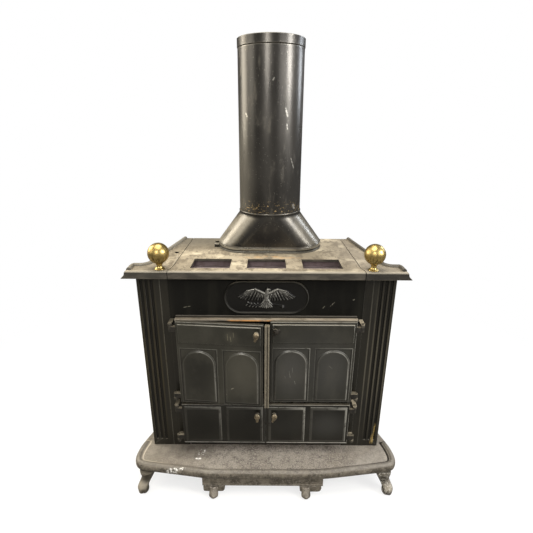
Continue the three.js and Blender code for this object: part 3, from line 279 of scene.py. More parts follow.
def hearthIron():
    paint = Paint("hearthIron")
    x, y, z = paint.at()
    nx, _, nz = paint.facing()
    up = paint.smooth(nz, 0.35, 0.9)
    middle = 1 - paint.smooth(abs(x - 0.03), 0.14, 0.36)
    veil = paint.patch(34, 0.42, 0.62, 6, rough=0.7)
    fine = paint.patch(210, 0.46, 0.6, 5, rough=0.75)
    pit = paint.patch(150, 0.56, 0.64, 4, rough=0.8)
    cream = paint.smooth(-x, 0.31, 0.41) * up
    # a darker patch on the plate in front of the left doors
    darkerByLeftDoors = 1 - paint.smooth(paint.far((x + 0.265) / 0.15, (y - faceY + 0.03) / 0.055), 0.2, 1)
    side = paint.layers(
        paint.blend(paint.patch(30, 0.4, 0.6, 6, rough=0.7), (0.05, 0.042, 0.031), (0.15, 0.13, 0.1)),
        (paint.patch(110, 0.5, 0.62, 5, rough=0.75) * 0.65, (0.235, 0.21, 0.168)),
        (paint.patch(85, 0.54, 0.64, 5, rough=0.75) * 0.6, (0.035, 0.03, 0.022)))
    # painted shade: the lower part of the plate's edge darkened
    low = paint.smooth(z, 0.086, 0.07) * paint.smooth(z, 0.066, 0.07)
    leg = paint.smooth(abs(x), 0.36, 0.37) * paint.smooth(z, 0.0695, 0.0685)
    inner = paint.smooth(-(nx * paint.maths("SIGN", x)), -0.45, 0.35)
    # crests lighter: edge wear plus a painted highlight
    wearAndHighlight = paint.mark("crest") * paint.patch(90, 0.35, 0.6)
    groove = paint.smooth(z, 0.0901, 0.0904) * up
    shadow = paint.smooth(x, 0.0, 0.2) * 0.4 + paint.smooth(x, 0.33, 0.4) * 0.6
    specks = []
    for start, end, width, least in hearthSpecks:
        x0, y0 = (start[0] + end[0]) / 2 * mm, (start[1] + end[1]) / 2 * mm + faceY
        reach, deep = abs(end[0] - start[0]) / 2 * mm, width / 2 * mm
        near = paint.smooth(abs(x - x0), reach, reach * 0.6) * paint.smooth(abs(y - y0), deep, deep * 0.4)
        specks.append((near * paint.patch(150, least, least + 0.05, 3, rough=0.8), (0.85, 0.84, 0.8)))
    tone = paint.layers(
        paint.blend(paint.patch(9, 0.32, 0.68, 5), (0.19, 0.165, 0.132), (0.3, 0.27, 0.225)),
        (veil * (0.35 + middle * 0.45), (0.115, 0.096, 0.085)),
        (fine * (0.35 + middle * 0.45), (0.4, 0.365, 0.32)),
        (pit * (0.3 + middle * 0.55), (0.055, 0.045, 0.036)),
        (cream * (0.35 + 0.4 * veil), (0.17, 0.15, 0.115)),
        (darkerByLeftDoors * (0.4 + 0.35 * veil), (0.085, 0.074, 0.06)),
        (1 - up, side),
        (low * 0.4, (0.05, 0.043, 0.031)),
        # painted shade on the legs' inner sides and on their upper part under the plate; the up-facing parts of the
        # feet lighter with dust and a painted highlight
        (leg * (inner * 0.75 + 0.1), (0.03, 0.025, 0.016)),
        (leg * paint.smooth(z, 0.026, 0.04) * 0.45, (0.03, 0.025, 0.016)),
        (leg * paint.smooth(nz, 0.05, 0.5) * paint.smooth(z, 0.042, 0.032) * 0.5, (0.32, 0.285, 0.22)),
        (paint.patch(170, 0.5, 0.58, 4, rough=0.8) * leg * paint.smooth(x, 0.2, 0.3) * 0.7, (0.55, 0.52, 0.46)),
        (paint.smooth(z, 0.0925, 0.0965) * 0.6, (0.105, 0.094, 0.077)),
        (wearAndHighlight * 0.2, (0.4, 0.36, 0.29)),
        (groove * paint.smooth(z, 0.0944, 0.0928) * shadow, (0.02, 0.016, 0.011)),
        (groove * paint.smooth(z, 0.0926, 0.0916) * paint.smooth(-x, 0.3, 0.4) * 0.85, (0.52, 0.46, 0.36)),
        *specks)
    height = paint.grain(260, 5, rough=0.7) * 1.2 + paint.grain(40, 3) * 1.5 + pit * -0.8
    return paint.dress(tone, 0.5 + veil * 0.14 - wearAndHighlight * 0.1, 0.1, height, 0.55, 0.9)


def dustyTop():
    paint = Paint("dustyTop")
    x, y, z = paint.at()
    up = paint.smooth(paint.facing()[2], 0.75, 0.97)
    crumb = paint.patch(420, 0.6, 0.7, 3, rough=0.7)
    dust = paint.layers(
        paint.blend(paint.patch(6, 0.32, 0.66, 5), (0.2, 0.166, 0.113), (0.35, 0.3, 0.215)),
        (paint.patch(38, 0.45, 0.6, 6, (1, 0.55, 1), 0.7) * 0.75, (0.115, 0.092, 0.06)),
        (paint.smooth(abs(paint.grain(21, 5, rough=0.62) - 0.5), 0.012, 0.002) * 0.75, (0.05, 0.038, 0.025)),
        (paint.puddle(15, 84, 130, 26) * paint.patch(45, 0.42, 0.6) * 0.6, (0.5, 0.3, 0.13)),
        (paint.patch(17, 0.56, 0.68) * 0.7, (0.52, 0.455, 0.33)),
        (paint.smooth(y, faceY + 0.12, faceY + 0.27) * paint.smooth(-x, 0.02, 0.2) * 0.85, (0.1, 0.088, 0.066)),
        (paint.smooth(x, 0.17, 0.3) * 0.5, (0.2, 0.172, 0.135)),
        (paint.smooth(abs(x), 0.285, 0.33) * paint.smooth(y, faceY + 0.05, faceY) * 0.55, (0.19, 0.165, 0.125)),
        (crumb * 0.6, (0.11, 0.09, 0.065)))
    left = 1 - paint.smooth(x, -0.31, -0.28)
    bare = paint.layers(
        paint.blend(paint.patch(24, 0.35, 0.7, 5, (1, 1, 3)), (0.036, 0.032, 0.026), (0.085, 0.075, 0.059)),
        (left * 0.35, (0.05, 0.047, 0.038)),
        (paint.smooth(x, 0.286, 0.292) * 0.75, (0.016, 0.015, 0.0125)))
    # painted shade: the inside of the hole painted near black
    hole = paint.smooth(paint.far(x + 0.299, y - (faceY + 0.131)), 0.0078, 0.0071)
    tone = paint.layers(
        paint.blend(up, bare, dust),
        # edges lighter: edge wear plus a painted highlight
        (paint.mark("crest") * 0.6, (0.33, 0.295, 0.23)),
        (paint.smooth(z, 0.7758, 0.779) * 0.8, paint.blend(left, (0.05, 0.045, 0.037), (0.15, 0.137, 0.11))),
        # painted shade: creases darkened
        (paint.mark("hollow") * 0.8, (0.028, 0.023, 0.017)),
        (hole, (0.001, 0.001, 0.001)))
    height = paint.grain(300) * 0.7 + paint.grain(60, 3) * 1.3 + crumb * 0.5
    return paint.dress(tone, 0.45 + up * 0.35, 0.08, height, 0.4, 0.7)


# scuffs on the front of the pipe: two ends (x, z) and a width
pipeScuffs = [((53, 1226), (61, 1197), 3), ((58, 1182), (60, 1162), 1.8), ((72, 1084), (84, 1046), 1.8),
              ((83, 938), (89, 918), 4), ((14, 1295), (20, 1305), 2.2), ((-66, 1212), (-60, 1196), 1.4)]


def pipeEnamel():
    paint = Paint("pipeEnamel")
    x, _, z = paint.at()
    nx, ny, nz = paint.facing()
    haze = paint.patch(11, 0.35, 0.7, 6, (1, 1, 0.3))
    rubbed = paint.patch(38, 0.56, 0.7, 5, (1, 1, 0.35), 0.68)
    flange = paint.smooth(z, 0.797, 0.793)
    slope = paint.maths("MAXIMUM", paint.smooth(nz, 0.06, 0.46), flange) * paint.patch(16, 0.25, 0.6, 5, rough=0.65)
    # lighter on slopes facing left: settled dust plus a painted highlight from the left
    dustAndLeftHighlight = slope * paint.smooth(-nx, -0.15, 0.6)
    # painted highlight: the pipe's left-facing side lighter in a band of its height
    edge = paint.smooth(-nx, 0.35, 0.95) * paint.smooth(z, 1.3, 1.05) * paint.smooth(z, 0.9, 0.92)
    # painted highlight: a lighter patch on the upper right of the pipe
    upperRightHighlight = paint.smooth(z, 1.02, 1.18) * paint.smooth(z, 1.45, 1.33) * paint.smooth(x, 0.0, 0.09)
    seam = paint.smooth(z, 0.7895, 0.7885) * paint.smooth(z, 0.7845, 0.7855)
    foot = paint.smooth(z, 0.958, 0.925) * paint.smooth(z, 0.905, 0.912)
    chip = paint.patch(120, 0.6, 0.64, 4, (1, 1, 1.8), 0.75) * foot
    ahead = paint.smooth(-ny, 0.0, 0.1) * paint.patch(260, 0.38, 0.5, 3, rough=0.7)
    tone = paint.layers(
        paint.blend(haze, (0.04, 0.038, 0.0355), (0.066, 0.062, 0.056)),
        (rubbed * 0.45, (0.12, 0.11, 0.09)),
        (slope * 0.5, (0.24, 0.215, 0.165)),
        (dustAndLeftHighlight * 0.85, (0.215, 0.193, 0.148)),
        (edge * 0.6, (0.15, 0.138, 0.11)),
        (upperRightHighlight * 0.5, (0.15, 0.14, 0.126)),
        (seam * 0.55, (0.36, 0.325, 0.25)),
        # painted shadow: the collar darkened below the boot's edge
        (paint.smooth(z, 0.7855, 0.7845) * 0.9, (0.012, 0.011, 0.009)),
        (chip, (0.7, 0.5, 0.22)),
        (paint.patch(240, 0.66, 0.7, 3, (1, 1, 0.5), 0.7) * 0.7, (0.3, 0.28, 0.24)),
        *((paint.stroke(*line) * ahead, (0.5, 0.48, 0.43)) for line in pipeScuffs),
        # edges lighter: edge wear plus a painted highlight
        (paint.mark("crest") * 0.5, (0.2, 0.19, 0.165)),
        # painted shade: creases darkened
        (paint.mark("hollow") * 0.6, (0.004, 0.004, 0.003)))
    metal = 0.75 - slope * 0.35 - dustAndLeftHighlight * 0.4 - edge * 0.4
    height = paint.grain(30, 3, (1, 1, 0.4)) * 2.0 + paint.grain(700, 2) * 0.25 - chip * 0.8
    return paint.dress(tone, 0.27 + haze * 0.08 + rubbed * 0.14 + chip * 0.3, metal, height, 0.16, 0.9)


def agedBrass():
    paint = Paint("agedBrass")
    z = paint.at()[2]
    patch = paint.patch(55, 0.38, 0.66, 6, rough=0.65)
    low = paint.smooth(z, 0.836, 0.812) * paint.smooth(z, 0.792, 0.802)
    drip = paint.patch(210, 0.44, 0.58, 4, (1, 1, 0.16), 0.6) * low
    blot = paint.patch(150, 0.56, 0.66, 5, rough=0.75)
    tone = paint.layers(
        paint.blend(patch, (0.52, 0.395, 0.155), (0.36, 0.26, 0.095)),
        (drip * 0.75, (0.1, 0.062, 0.018)),
        (blot * 0.6, (0.14, 0.095, 0.03)))
    rough = 0.34 + patch * 0.12 + drip * 0.2 + blot * 0.14
    return paint.dress(tone, rough, 1.0, paint.grain(500, 3) * 0.4 + paint.grain(60, 2), 0.14, 0.5)


def rubbedIron(name, dark, pale, rough=0.42, metal=0.65, dusty=0.5, edgeWearAndHighlight=0.4):
    paint = Paint(name)
    patch = paint.patch(110, 0.36, 0.64, 5, rough=0.65)
    pit = paint.patch(600, 0.6, 0.7)
    tone = paint.layers(
        paint.blend(patch, dark, pale),
        (dustOn(paint, dusty), (0.45, 0.39, 0.28)),
        # edges lighter: edge wear plus a painted highlight
        (paint.mark("crest") * edgeWearAndHighlight, (0.5, 0.45, 0.34)),
        # painted shade: creases darkened
        (paint.mark("hollow") * 0.8, (0.014, 0.011, 0.008)),
        (pit * 0.5, (0.05, 0.04, 0.03)))
    return paint.dress(tone, rough + patch * 0.12, metal, paint.grain(380) + pit * -0.5, 0.4, 0.5)


def trayFloor():
    paint = Paint("trayFloor")
    high = paint.smooth(paint.at()[2], 0.7455, 0.7505)
    tone = paint.layers(
        paint.blend(high, (0.028, 0.021, 0.021), (0.15, 0.112, 0.116)),
        (paint.patch(70, 0.4, 0.7, 5) * 0.5, (0.07, 0.045, 0.036)))
    return paint.dress(tone, 0.6, 0.1, paint.grain(300), 0.4, 0.6)


# ---- mesh helpers, all in millimetres

def turns(count, phase=0.0):
    return [phase + 2 * math.pi * i / count for i in range(count)]


def arc(x, y, radius, start, sweep, steps, rise=None):
    angles = [start + sweep * i / steps for i in range(steps + 1)]
    return [(x + radius * math.cos(t), y + (rise or radius) * math.sin(t)) for t in angles]


def shifted(points, dx, dz):
    return [(x + dx, z + dz) for x, z in points]


def addLoft(bm, rings, closed=False):
    rows = [[bm.verts.new(point) for point in ring] for ring in rings]
    for low, high in zip(rows, rows[1:] + rows[:1] if closed else rows[1:]):
        for i, vertex in enumerate(low):
            j = (i + 1) % len(low)
            bm.faces.new((vertex, low[j], high[j], high[i]))
    if not closed:
        bm.faces.new(rows[0][::-1])
        bm.faces.new(rows[-1])


def addPrism(bm, outline, start, end, axis="y"):  # an outline (x, z), (x, y) or (y, z) given length along the axis
    at = "xyz".index(axis)
    addLoft(bm, [[(*p[:at], t, *p[at:]) for p in outline] for t in (start, end)])


def rectangle(x0, x1, z0, z1, inset=0.0):
    return [(x0 + inset, z0 + inset), (x1 - inset, z0 + inset), (x1 - inset, z1 - inset), (x0 + inset, z1 - inset)]


def addBlock(bm, x0, x1, y0, y1, z0, z1, soft=0.0, steps=2):
    before = set(bm.edges)
    addPrism(bm, rectangle(x0, x1, z0, z1), y0, y1)
    if soft:
        soften(bm, [edge for edge in bm.edges if edge not in before], soft, steps)


def soften(bm, edges, width, steps=2):
    bmesh.ops.bevel(bm, geom=edges, offset=width, segments=steps, profile=0.5, affect="EDGES")


def addLathe(bm, profile, x, y, segments=64, closed=False, phase=0.0):
    around = turns(segments, phase)
    addLoft(bm, [[(x + r * math.cos(t), y + r * math.sin(t), z) for t in around] for r, z in profile], closed)


def addPegs(bm, x, z, profile):  # a turned shape on an axis from front to back: (radius, y)
    addLoft(bm, [[(x + r * math.cos(t), y, z + r * math.sin(t)) for t in turns(28)] for r, y in profile])


def addSweep(bm, path, radii, sides=12, squash=1.0, up=(0, 0, 1)):  # an oval section carried along a path
    path = [Vector(p) for p in path]
    rings = []
    for i, (point, r) in enumerate(zip(path, radii)):
        along = (path[min(i + 1, len(path) - 1)] - path[max(i - 1, 0)]).normalized()
        aside = along.cross(Vector(up)).normalized()
        over = aside.cross(along).normalized()
        rings.append([point + aside * (r * math.cos(t)) + over * (r * squash * math.sin(t)) for t in turns(sides)])
    addLoft(bm, rings)


def addMoulding(bm, outlineAt, profile, face, ring=False):  # outlineAt(inset) gives (x, z), profile (inset, proud)
    addLoft(bm, [[(x, face - proud, z) for x, z in outlineAt(inset)] for inset, proud in profile], ring)


def stadium(halfLength, halfDepth, steps, x=0.0, y=0.0):
    reach = halfLength - halfDepth
    return [point for side, start in ((1, -math.pi / 2), (-1, math.pi / 2))
            for point in arc(x + side * reach, y, halfDepth, start, math.pi, steps)]


def curve(points, steps):  # a smooth line through a few points
    points = [Vector(p) for p in points]
    ends = [points[0] * 2 - points[1]] + points + [points[-1] * 2 - points[-2]]
    line = []
    for a, b, c, d in zip(ends, ends[1:], ends[2:], ends[3:]):
        for i in range(steps):
            t = i / steps
            bend, twist = 2 * a - 5 * b + 4 * c - d, 3 * b - a - 3 * c + d
            line.append(0.5 * (2 * b + (c - a) * t + bend * t * t + twist * t ** 3))
    return line + [points[-1]]


def bezier(a, b, c, steps=6):
    a, b, c = Vector(a), Vector(b), Vector(c)
    return [a.lerp(b, i / steps).lerp(b.lerp(c, i / steps), i / steps) for i in range(steps + 1)]


def meshOf(add, *sizes, **options):  # a new mesh with one thing added to it
    bm = bmesh.new()
    add(bm, *sizes, **options)
    return bm


def toObject(bm, name):
    bmesh.ops.recalc_face_normals(bm, faces=bm.faces)
    mesh = bpy.data.meshes.new(name)
    bm.to_mesh(mesh)
    bm.free()
    return toScene(name, mesh)


def shape(name, add, *sizes, **options):
    return toObject(meshOf(add, *sizes, **options), name)


def combine(item, bm, operation):
    tool = toObject(bm, item.name + "Tool")
    step = item.modifiers.new("step", "BOOLEAN")
    step.operation = operation
    step.solver = "EXACT"
    step.object = tool
    settle(item)
    bpy.data.objects.remove(tool)


def join(item, add, *sizes, **options):
    combine(item, meshOf(add, *sizes, **options), "UNION")


def cut(item, add, *sizes, **options):
    combine(item, meshOf(add, *sizes, **options), "DIFFERENCE")


def keep(item, add, *sizes, **options):
    combine(item, meshOf(add, *sizes, **options), "INTERSECT")


def gather(item, bm):  # lay a mesh into an object as it is
    extra = toObject(bm, "extra")
    whole = bmesh.new()
    whole.from_mesh(item.data)
    whole.from_mesh(extra.data)
    whole.to_mesh(item.data)
    whole.free()
    bpy.data.objects.remove(extra)


def settle(item):  # apply an object's modifiers to its mesh
    bpy.context.view_layer.update()
    ready = item.evaluated_get(bpy.context.evaluated_depsgraph_get())
    mesh = bpy.data.meshes.new_from_object(ready)
    item.modifiers.clear()
    old = item.data
    item.data = mesh
    bpy.data.meshes.remove(old)


def flipX(item):
    bm = bmesh.new()
    bm.from_mesh(item.data)
    bmesh.ops.scale(bm, vec=(-1, 1, 1), verts=bm.verts)
    bmesh.ops.reverse_faces(bm, faces=bm.faces)
    bm.to_mesh(item.data)
    bm.free()


def closeOff(bm, axis, level):  # carry the open edge to one level and fill it
    rim = bmesh.ops.extrude_edge_only(bm, edges=[e for e in bm.edges if e.is_boundary])
    for vertex in rim["geom"]:
        if isinstance(vertex, bmesh.types.BMVert):
            vertex.co[axis] = level
    bmesh.ops.holes_fill(bm, edges=bm.edges, sides=0)


def markEdges(bm):  # crests for worn edges that also carry a painted highlight, hollows for painted shade in creases, kept off the wide flats
    crest, hollow = bm.loops.layers.float.new("crest"), bm.loops.layers.float.new("hollow")
    bends = {}
    for vertex in bm.verts:
        angles = [e.calc_face_angle_signed(0.0) for e in vertex.link_edges if len(e.link_faces) == 2]
        low = min(1.0, max([0.0] + [-angle for angle in angles]) / 0.6)
        bends[vertex] = (min(1.0, max([0.0] + angles) / 0.6) * (1 - low), low)
    for face in bm.faces:
        if len(face.verts) < 9 and 2 * face.calc_area() / face.calc_perimeter() < 5:
            for loop in face.loops:
                loop[crest], loop[hollow] = bends[loop.vert]


def finishPiece(item, material, body="root", replaces=(), soft=0.0, sharp=38, turn=None,
                subdivide=0, side=1):
    if side < 0:
        flipX(item)
    if soft:
        edge = item.modifiers.new("edge", "BEVEL")
        edge.width = soft
        edge.segments = 2
        edge.limit_method = "ANGLE"
        edge.angle_limit = math.radians(35)
    if subdivide:
        finer = item.modifiers.new("finer", "SUBSURF")
        finer.levels = finer.render_levels = subdivide
    if soft or subdivide:
        settle(item)
    bm = bmesh.new()
    bm.from_mesh(item.data)
    bmesh.ops.remove_doubles(bm, verts=bm.verts, dist=0.002)
    bmesh.ops.dissolve_degenerate(bm, edges=bm.edges, dist=0.002)
    markEdges(bm)
    for face in bm.faces:
        face.smooth = True
    for edge in bm.edges:
        edge.smooth = len(edge.link_faces) == 2 and edge.calc_face_angle(0.0) < math.radians(sharp)
    if turn:
        bmesh.ops.transform(bm, matrix=turn, verts=bm.verts)
    for vertex in bm.verts:
        vertex.co = place(vertex.co)
    bm.to_mesh(item.data)
    bm.free()
    item.data.materials.clear()
    item.data.materials.append(material)
    weighted = item.modifiers.new("normals", "WEIGHTED_NORMAL")
    weighted.keep_sharp = True
    settle(item)
    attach(item, body)
    if replaces:
        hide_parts(*replaces)


# ---- pipe, boot and collar

flue = {"x": 10, "y": 217, "facets": 96, "half": 177, "deep": 92}


def flueRing(halfLength, halfDepth, z):
    reach = halfLength - halfDepth
    return [(flue["x"] + halfDepth * math.cos(t) + math.copysign(reach, math.cos(t)),
             flue["y"] + halfDepth * math.sin(t), z) for t in turns(flue["facets"], math.pi / flue["facets"])]


def makePipe(material):
    size = {"radius": 101.6, "wall": 1.6, "foot": 882.0, "top": 1416.6, "band": 24, "proud": 1.4, "dent": 0.35,
            "levels": 40, "seam": 6.5}
    r, top, foot, band = size["radius"], size["top"], size["foot"], size["top"] - size["band"]
    inner, proud, levels = r - size["wall"], r + size["proud"], size["levels"]
    profile = [(inner, foot)] + [(r, foot + (band - 6 - foot) * i / levels) for i in range(levels + 1)]
    profile += shifted([(0, -3), (-0.7, -1.5), (0.2, -0.4)], r, band) + shifted([(0, 0.6), (0, 2)], proud, band)
    profile += [(proud, top - 3), (proud + 0.2, top - 1), (r + 0.6, top), (inner, top), (inner, (top + foot) / 2)]
    x, y = flue["x"], flue["y"]
    bm = meshOf(addLathe, profile, x, y, flue["facets"], closed=True, phase=math.pi / flue["facets"])
    for vertex in bm.verts:
        out = Vector((vertex.co.x - x, vertex.co.y - y, 0))
        if out.length > r - 1 and foot + 30 < vertex.co.z < band - 10:
            wave = noise.noise(Vector((out.x * 0.018, out.y * 0.018, vertex.co.z * 0.0035)) + Vector((3, 7, 1)))
            vertex.co += out.normalized() * (wave * size["dent"])
    seam = [(x, y + r - 0.2, z) for z in (foot + 28, top - 30)]
    addSweep(bm, seam, [size["seam"]] * 2, 12, 0.14, up=(0, 1, 0))
    finishPiece(toObject(bm, "pipe"), material, replaces=("stovepipe",), sharp=50)


def makeBoot(material):
    size = {"foot": 794.6, "neck": 898, "top": 908, "neckRadius": 103.3, "wall": 1.4, "bead": 0.5, "steps": 16}
    half, deep, foot, neck, top = flue["half"], flue["deep"], size["foot"], size["neck"], size["top"]
    radius, wall, bead = size["neckRadius"], size["wall"], size["neckRadius"] + size["bead"]
    inner = radius - wall
    rows = [(half - 0.5, deep - 0.5, foot), (half, deep, foot + 1), (half, deep, foot + 3)]
    rows.append((half - 1.4, deep - 0.4, foot + 4))
    for t in [i / size["steps"] for i in range(1, size["steps"])]:
        rows.append((half + (radius - half) * t, deep + (radius - deep) * t, foot + 3 + (neck - foot - 3) * t))
    rows += [(r, r, z) for r, z in ((radius, neck), (radius, top - 4), (bead, top - 2.6), (bead, top - 1.2),
                                    (radius, top), (inner, top), (inner, neck))]
    rows.append((half - wall, deep - wall, foot))
    item = shape("boot", addLoft, [flueRing(*row) for row in rows], closed=True)
    finishPiece(item, material, replaces=("flue_boot",), sharp=50)


def makeCollar(material):
    size = {"wall": 7, "foot": 775.3, "top": 794.3, "reach": 15, "ear": 46, "earHigh": 12, "bolt": 4.5}
    half, deep, foot, top, wall = flue["half"], flue["deep"], size["foot"], size["top"], size["wall"]
    steps = [(0, foot), (0, foot + 5), (-2, foot + 6.5), (-2, top - 3), (-3, top - 0.6), (-4, top), (-wall, top),
             (-wall, foot)]
    item = shape("collar", addLoft, [flueRing(half + out, deep + out, z) for out, z in steps], closed=True)
    x, y, ear, bolt = flue["x"] - half, flue["y"], size["ear"] / 2, size["bolt"]
    join(item, addBlock, x - size["reach"], x + 4, y - ear, y + ear, foot, foot + size["earHigh"], 2)
    cut(item, addLathe, [(bolt, foot - 1), (bolt, foot + size["earHigh"] + 1)], x - size["reach"] / 2, y, 24)
    finishPiece(item, material, replaces=("flue_collar",))


# ---- ball finials

def makeFinials(material):
    size = {"x": 315, "y": -30, "ball": 31, "centre": 824, "foot": 775.3}
    stem = [(14.2, 0), (15, 0.6), (15, 2), (14, 3), (11.5, 4), (9.6, 6.2), (8.3, 9.5), (8, 12), (8.6, 14.5),
            (10.4, 17.2), (11, 18.6), (10.2, 19.5)]
    globe = arc(0, size["centre"], size["ball"], -math.pi / 2, math.pi, 40)[1:-1]
    for word, side in sides:
        for kind, profile, facets in (("base", shifted(stem, 0, size["foot"]), 48), ("ball", globe, 64)):
            name = f"finial{kind.title()}{word.title()}"
            item = shape(name, addLathe, profile, side * size["x"], size["y"], facets)
            finishPiece(item, material, replaces=(f"finial_{kind}_{word}",), sharp=60)


# ---- top plates

topSize = {
    "top": 775, "thick": 8, "lipFoot": 750, "reach": 48, "wall": 8, "bevel": 5, "wing": 415, "flare": 12, "wingBack": 8,
    "seam": ((291, -50), (282, -10), (275, 309)), "gap": 2.0, "back": (311, 309), "side": (364, 20), "shoulder": 372,
    "bead": 7.2, "hole": (7, 299, 131), "flueHole": (170, 85),
}
vents = {"wide": 118, "deep": 85, "pitch": 169, "y": 24}


def lipSection():  # (y, z), the whole section of a top plate with its turned-down lip
    s = topSize
    top, foot, front, low, back = s["top"], s["lipFoot"], -s["reach"], s["top"] - s["thick"], s["back"][1]
    wall = front + s["wall"]
    nose = bezier((front, top - s["bevel"]), (front + 0.6, top - 0.8), (front + s["bevel"] + 1, top), 5)
    inner = bezier((wall, low - 5), (wall, low), (wall + 5, low), 4)
    return [(wall - 1, foot), (front + 1.2, foot), (front, foot + 1.2), *nose, (back - 1, top), (back, top - 1),
            (back, low), *reversed(inner), (wall, foot + 1)]


def endSection():  # (x, z), everything inside the moulded end of a wing
    s = topSize
    top, foot, edge, outer = s["top"], s["lipFoot"], s["wing"], s["wing"] + s["flare"]
    return [(0, foot - 2), (outer, foot - 2), (outer, foot + 2),
            *bezier((outer - 0.5, foot + 2.6), (edge + 3, foot + 6), (edge + 1, top - 8)),
            *bezier((edge + 1, top - 7), (edge, top - 1), (edge - 5, top), 5), (0, top)]


def sidePlan():
    s = topSize
    front, middle, back = [(x + s["gap"] / 2, y) for x, y in s["seam"]]
    outer, rear, shoulder = s["wing"] + s["flare"], s["wingBack"], s["shoulder"]
    return [front, (outer + 2, -s["reach"] - 2), (outer + 2, rear - 12),
            *bezier((outer - 0.5, rear - 11), (outer - 1, rear), (s["wing"] - 8, rear)),
            *bezier((shoulder + 12, rear), (shoulder - 2, rear), s["side"]), s["back"], back, middle]


def beadPath():
    s = topSize
    inset, z, shoulder = 7, s["top"] + 0.6, s["shoulder"]
    outer, rear, side = s["wing"] - inset - 4, s["wingBack"] - inset, s["side"][0] - inset
    plan = [(s["back"][0] - inset, s["back"][1] - 5), (side, s["side"][1] + 6),
            *bezier((side, s["side"][1]), (shoulder - 5, rear), (shoulder + 14, rear), 8),
            *bezier((s["wing"] - 18, rear), (outer, rear), (outer, s["wingBack"] - 20)), (outer, -s["reach"] + 9)]
    return [(*point, z) for point in plan]


def makeTop(material):
    s = topSize
    top, foot, wing, reach, rear = [s[key] for key in ("top", "lipFoot", "wing", "reach", "wingBack")]
    low, under, over, bead = top - s["thick"], foot - 5, top + 5, beadPath()
    for word, side in sides:
        item = shape("top" + word.title(), addPrism, lipSection(), 0, wing + s["flare"] + 5, "x")
        keep(item, addPrism, sidePlan(), under, over, "z")
        keep(item, addPrism, endSection(), -reach - 5, s["back"][1] + 5)
        wall = shape("wall", addPrism, endSection(), -reach + 1.5, rear - 1)  # closes the wing's end
        cut(wall, addBlock, -5, wing - s["wall"], -reach - 5, rear + 5, under, over)
        lids = meshOf(addBlock, 0, 500, -100, 100, top - 3, over)
        addBlock(lids, 0, 500, -100, 100, under, foot)
        combine(wall, lids, "DIFFERENCE")
        join(item, bmesh.types.BMesh.from_mesh, wall.data)
        bpy.data.objects.remove(wall)
        if side < 0:
            radius, x, y = s["hole"]
            cut(item, addLathe, [(radius, low - 3), (radius, top + 3)], x, y, 24)
        gather(item, meshOf(addSweep, bead, [s["bead"]] * len(bead), 16))
        finishPiece(item, material, replaces=("top_" + word,), sharp=40, side=side)
    item = shape("topMiddle", addPrism, lipSection(), -300, 300, "x")
    right = [(x - s["gap"] / 2, y) for x, y in s["seam"]]
    keep(item, addPrism, right + [(-x, y) for x, y in reversed(right)], under, over, "z")
    cuts = bmesh.new()
    y, wide, deep = vents["y"], vents["wide"] / 2, vents["deep"] / 2
    for x in (-vents["pitch"], 0, vents["pitch"]):
        addBlock(cuts, x - wide, x + wide, y - deep, y + deep, low - 5, over)
    addPrism(cuts, stadium(*s["flueHole"], 24, flue["x"], flue["y"]), low - 5, over, "z")
    combine(item, cuts, "DIFFERENCE")
    finishPiece(item, material, replaces=("top_centre",), soft=0.7)


def makeTray(material):
    size = {"half": 241, "y0": -31.5, "y1": 79.5, "foot": 741, "top": 766.2, "wall": 4, "ribs": 5, "rise": 6,
            "columns": 80, "rows": 66}
    half, y0, y1, foot, top, wall = [size[key] for key in ("half", "y0", "y1", "foot", "top", "wall")]
    bm = bmesh.new()
    grid = []
    for y in [y0 + (y1 - y0) * j / size["rows"] for j in range(size["rows"] + 1)]:
        grid.append([])
        for x in [-half + 2 * half * i / size["columns"] for i in range(size["columns"] + 1)]:
            sway = 2.2 * math.sin(x * 0.05 + 0.6) + 1.6 * noise.noise(Vector((x * 0.03, y * 0.02, 4)))
            wave = 0.5 + 0.5 * math.cos(2 * math.pi * (y - vents["y"] + sway) / (vents["deep"] / size["ribs"]))
            grid[-1].append(bm.verts.new((x, y, foot + 3 + size["rise"] * wave ** 1.5)))
    for low, high in zip(grid, grid[1:]):
        for i in range(size["columns"]):
            bm.faces.new((low[i], low[i + 1], high[i + 1], high[i]))
    closeOff(bm, 2, foot)
    floor = toObject(bm, "ventTray")
    walls = shape("trayWalls", addBlock, -half, half, y0, y1, foot, top)
    cut(walls, addBlock, -half + wall, half - wall, y0 + wall, y1 - wall, foot + 2, top + 5)
    finishPiece(walls, material, replaces=("vent_tray",), sharp=30)
    finishPiece(floor, material, sharp=50)


# ---- header, ledge and medallion

def makeHeader(material, ledgeMaterial):
    size = {"half": 305, "foot": 598, "top": 766.5, "thick": 8, "ledgeHalf": 287, "ledgeTop": 606, "ledge": 22,
            "notch": 242.3, "notchFoot": 740.4}
    half, foot, top, notch = size["half"], size["foot"], size["top"], size["notch"]
    item = shape("headerPanel", addBlock, -half, half, 0, size["thick"], foot, top, 0.8)
    cut(item, addBlock, -notch, notch, -5, 15, size["notchFoot"], top + 5)
    finishPiece(item, material, replaces=("header_panel",))
    front, crown, half = -size["ledge"], size["ledgeTop"], size["ledgeHalf"]
    outline = [(1, foot), (front + 2.5, foot), (front, foot + 2.5), (front, crown - 3), (front + 1, crown - 0.8),
               (front + 3.5, crown), (-4, crown), (-1.2, crown + 1.6), (1, crown + 5)]
    finishPiece(shape("headerLedge", addPrism, outline, -half, half, "x"), ledgeMaterial, soft=0.5)


medallion = {"half": 132, "high": 55, "z": 673, "back": -0.3, "face": -4.8, "rim": 6, "pitch": 0.8}


def tapered(x, z, start, end, w0, w1, crown):  # a rounded feather or limb between two points
    ax, az = start
    dx, dz = end[0] - ax, end[1] - az
    t = np.clip(((x - ax) * dx + (z - az) * dz) / (dx * dx + dz * dz), 0, 1)
    width = w0 + (w1 - w0) * t
    gap = np.hypot(x - ax - t * dx, z - az - t * dz) / width
    return np.where(gap < 1, crown * np.sqrt(np.clip(1 - gap ** 2, 0, 1)) * np.minimum(1, width / 2.2), 0.0)


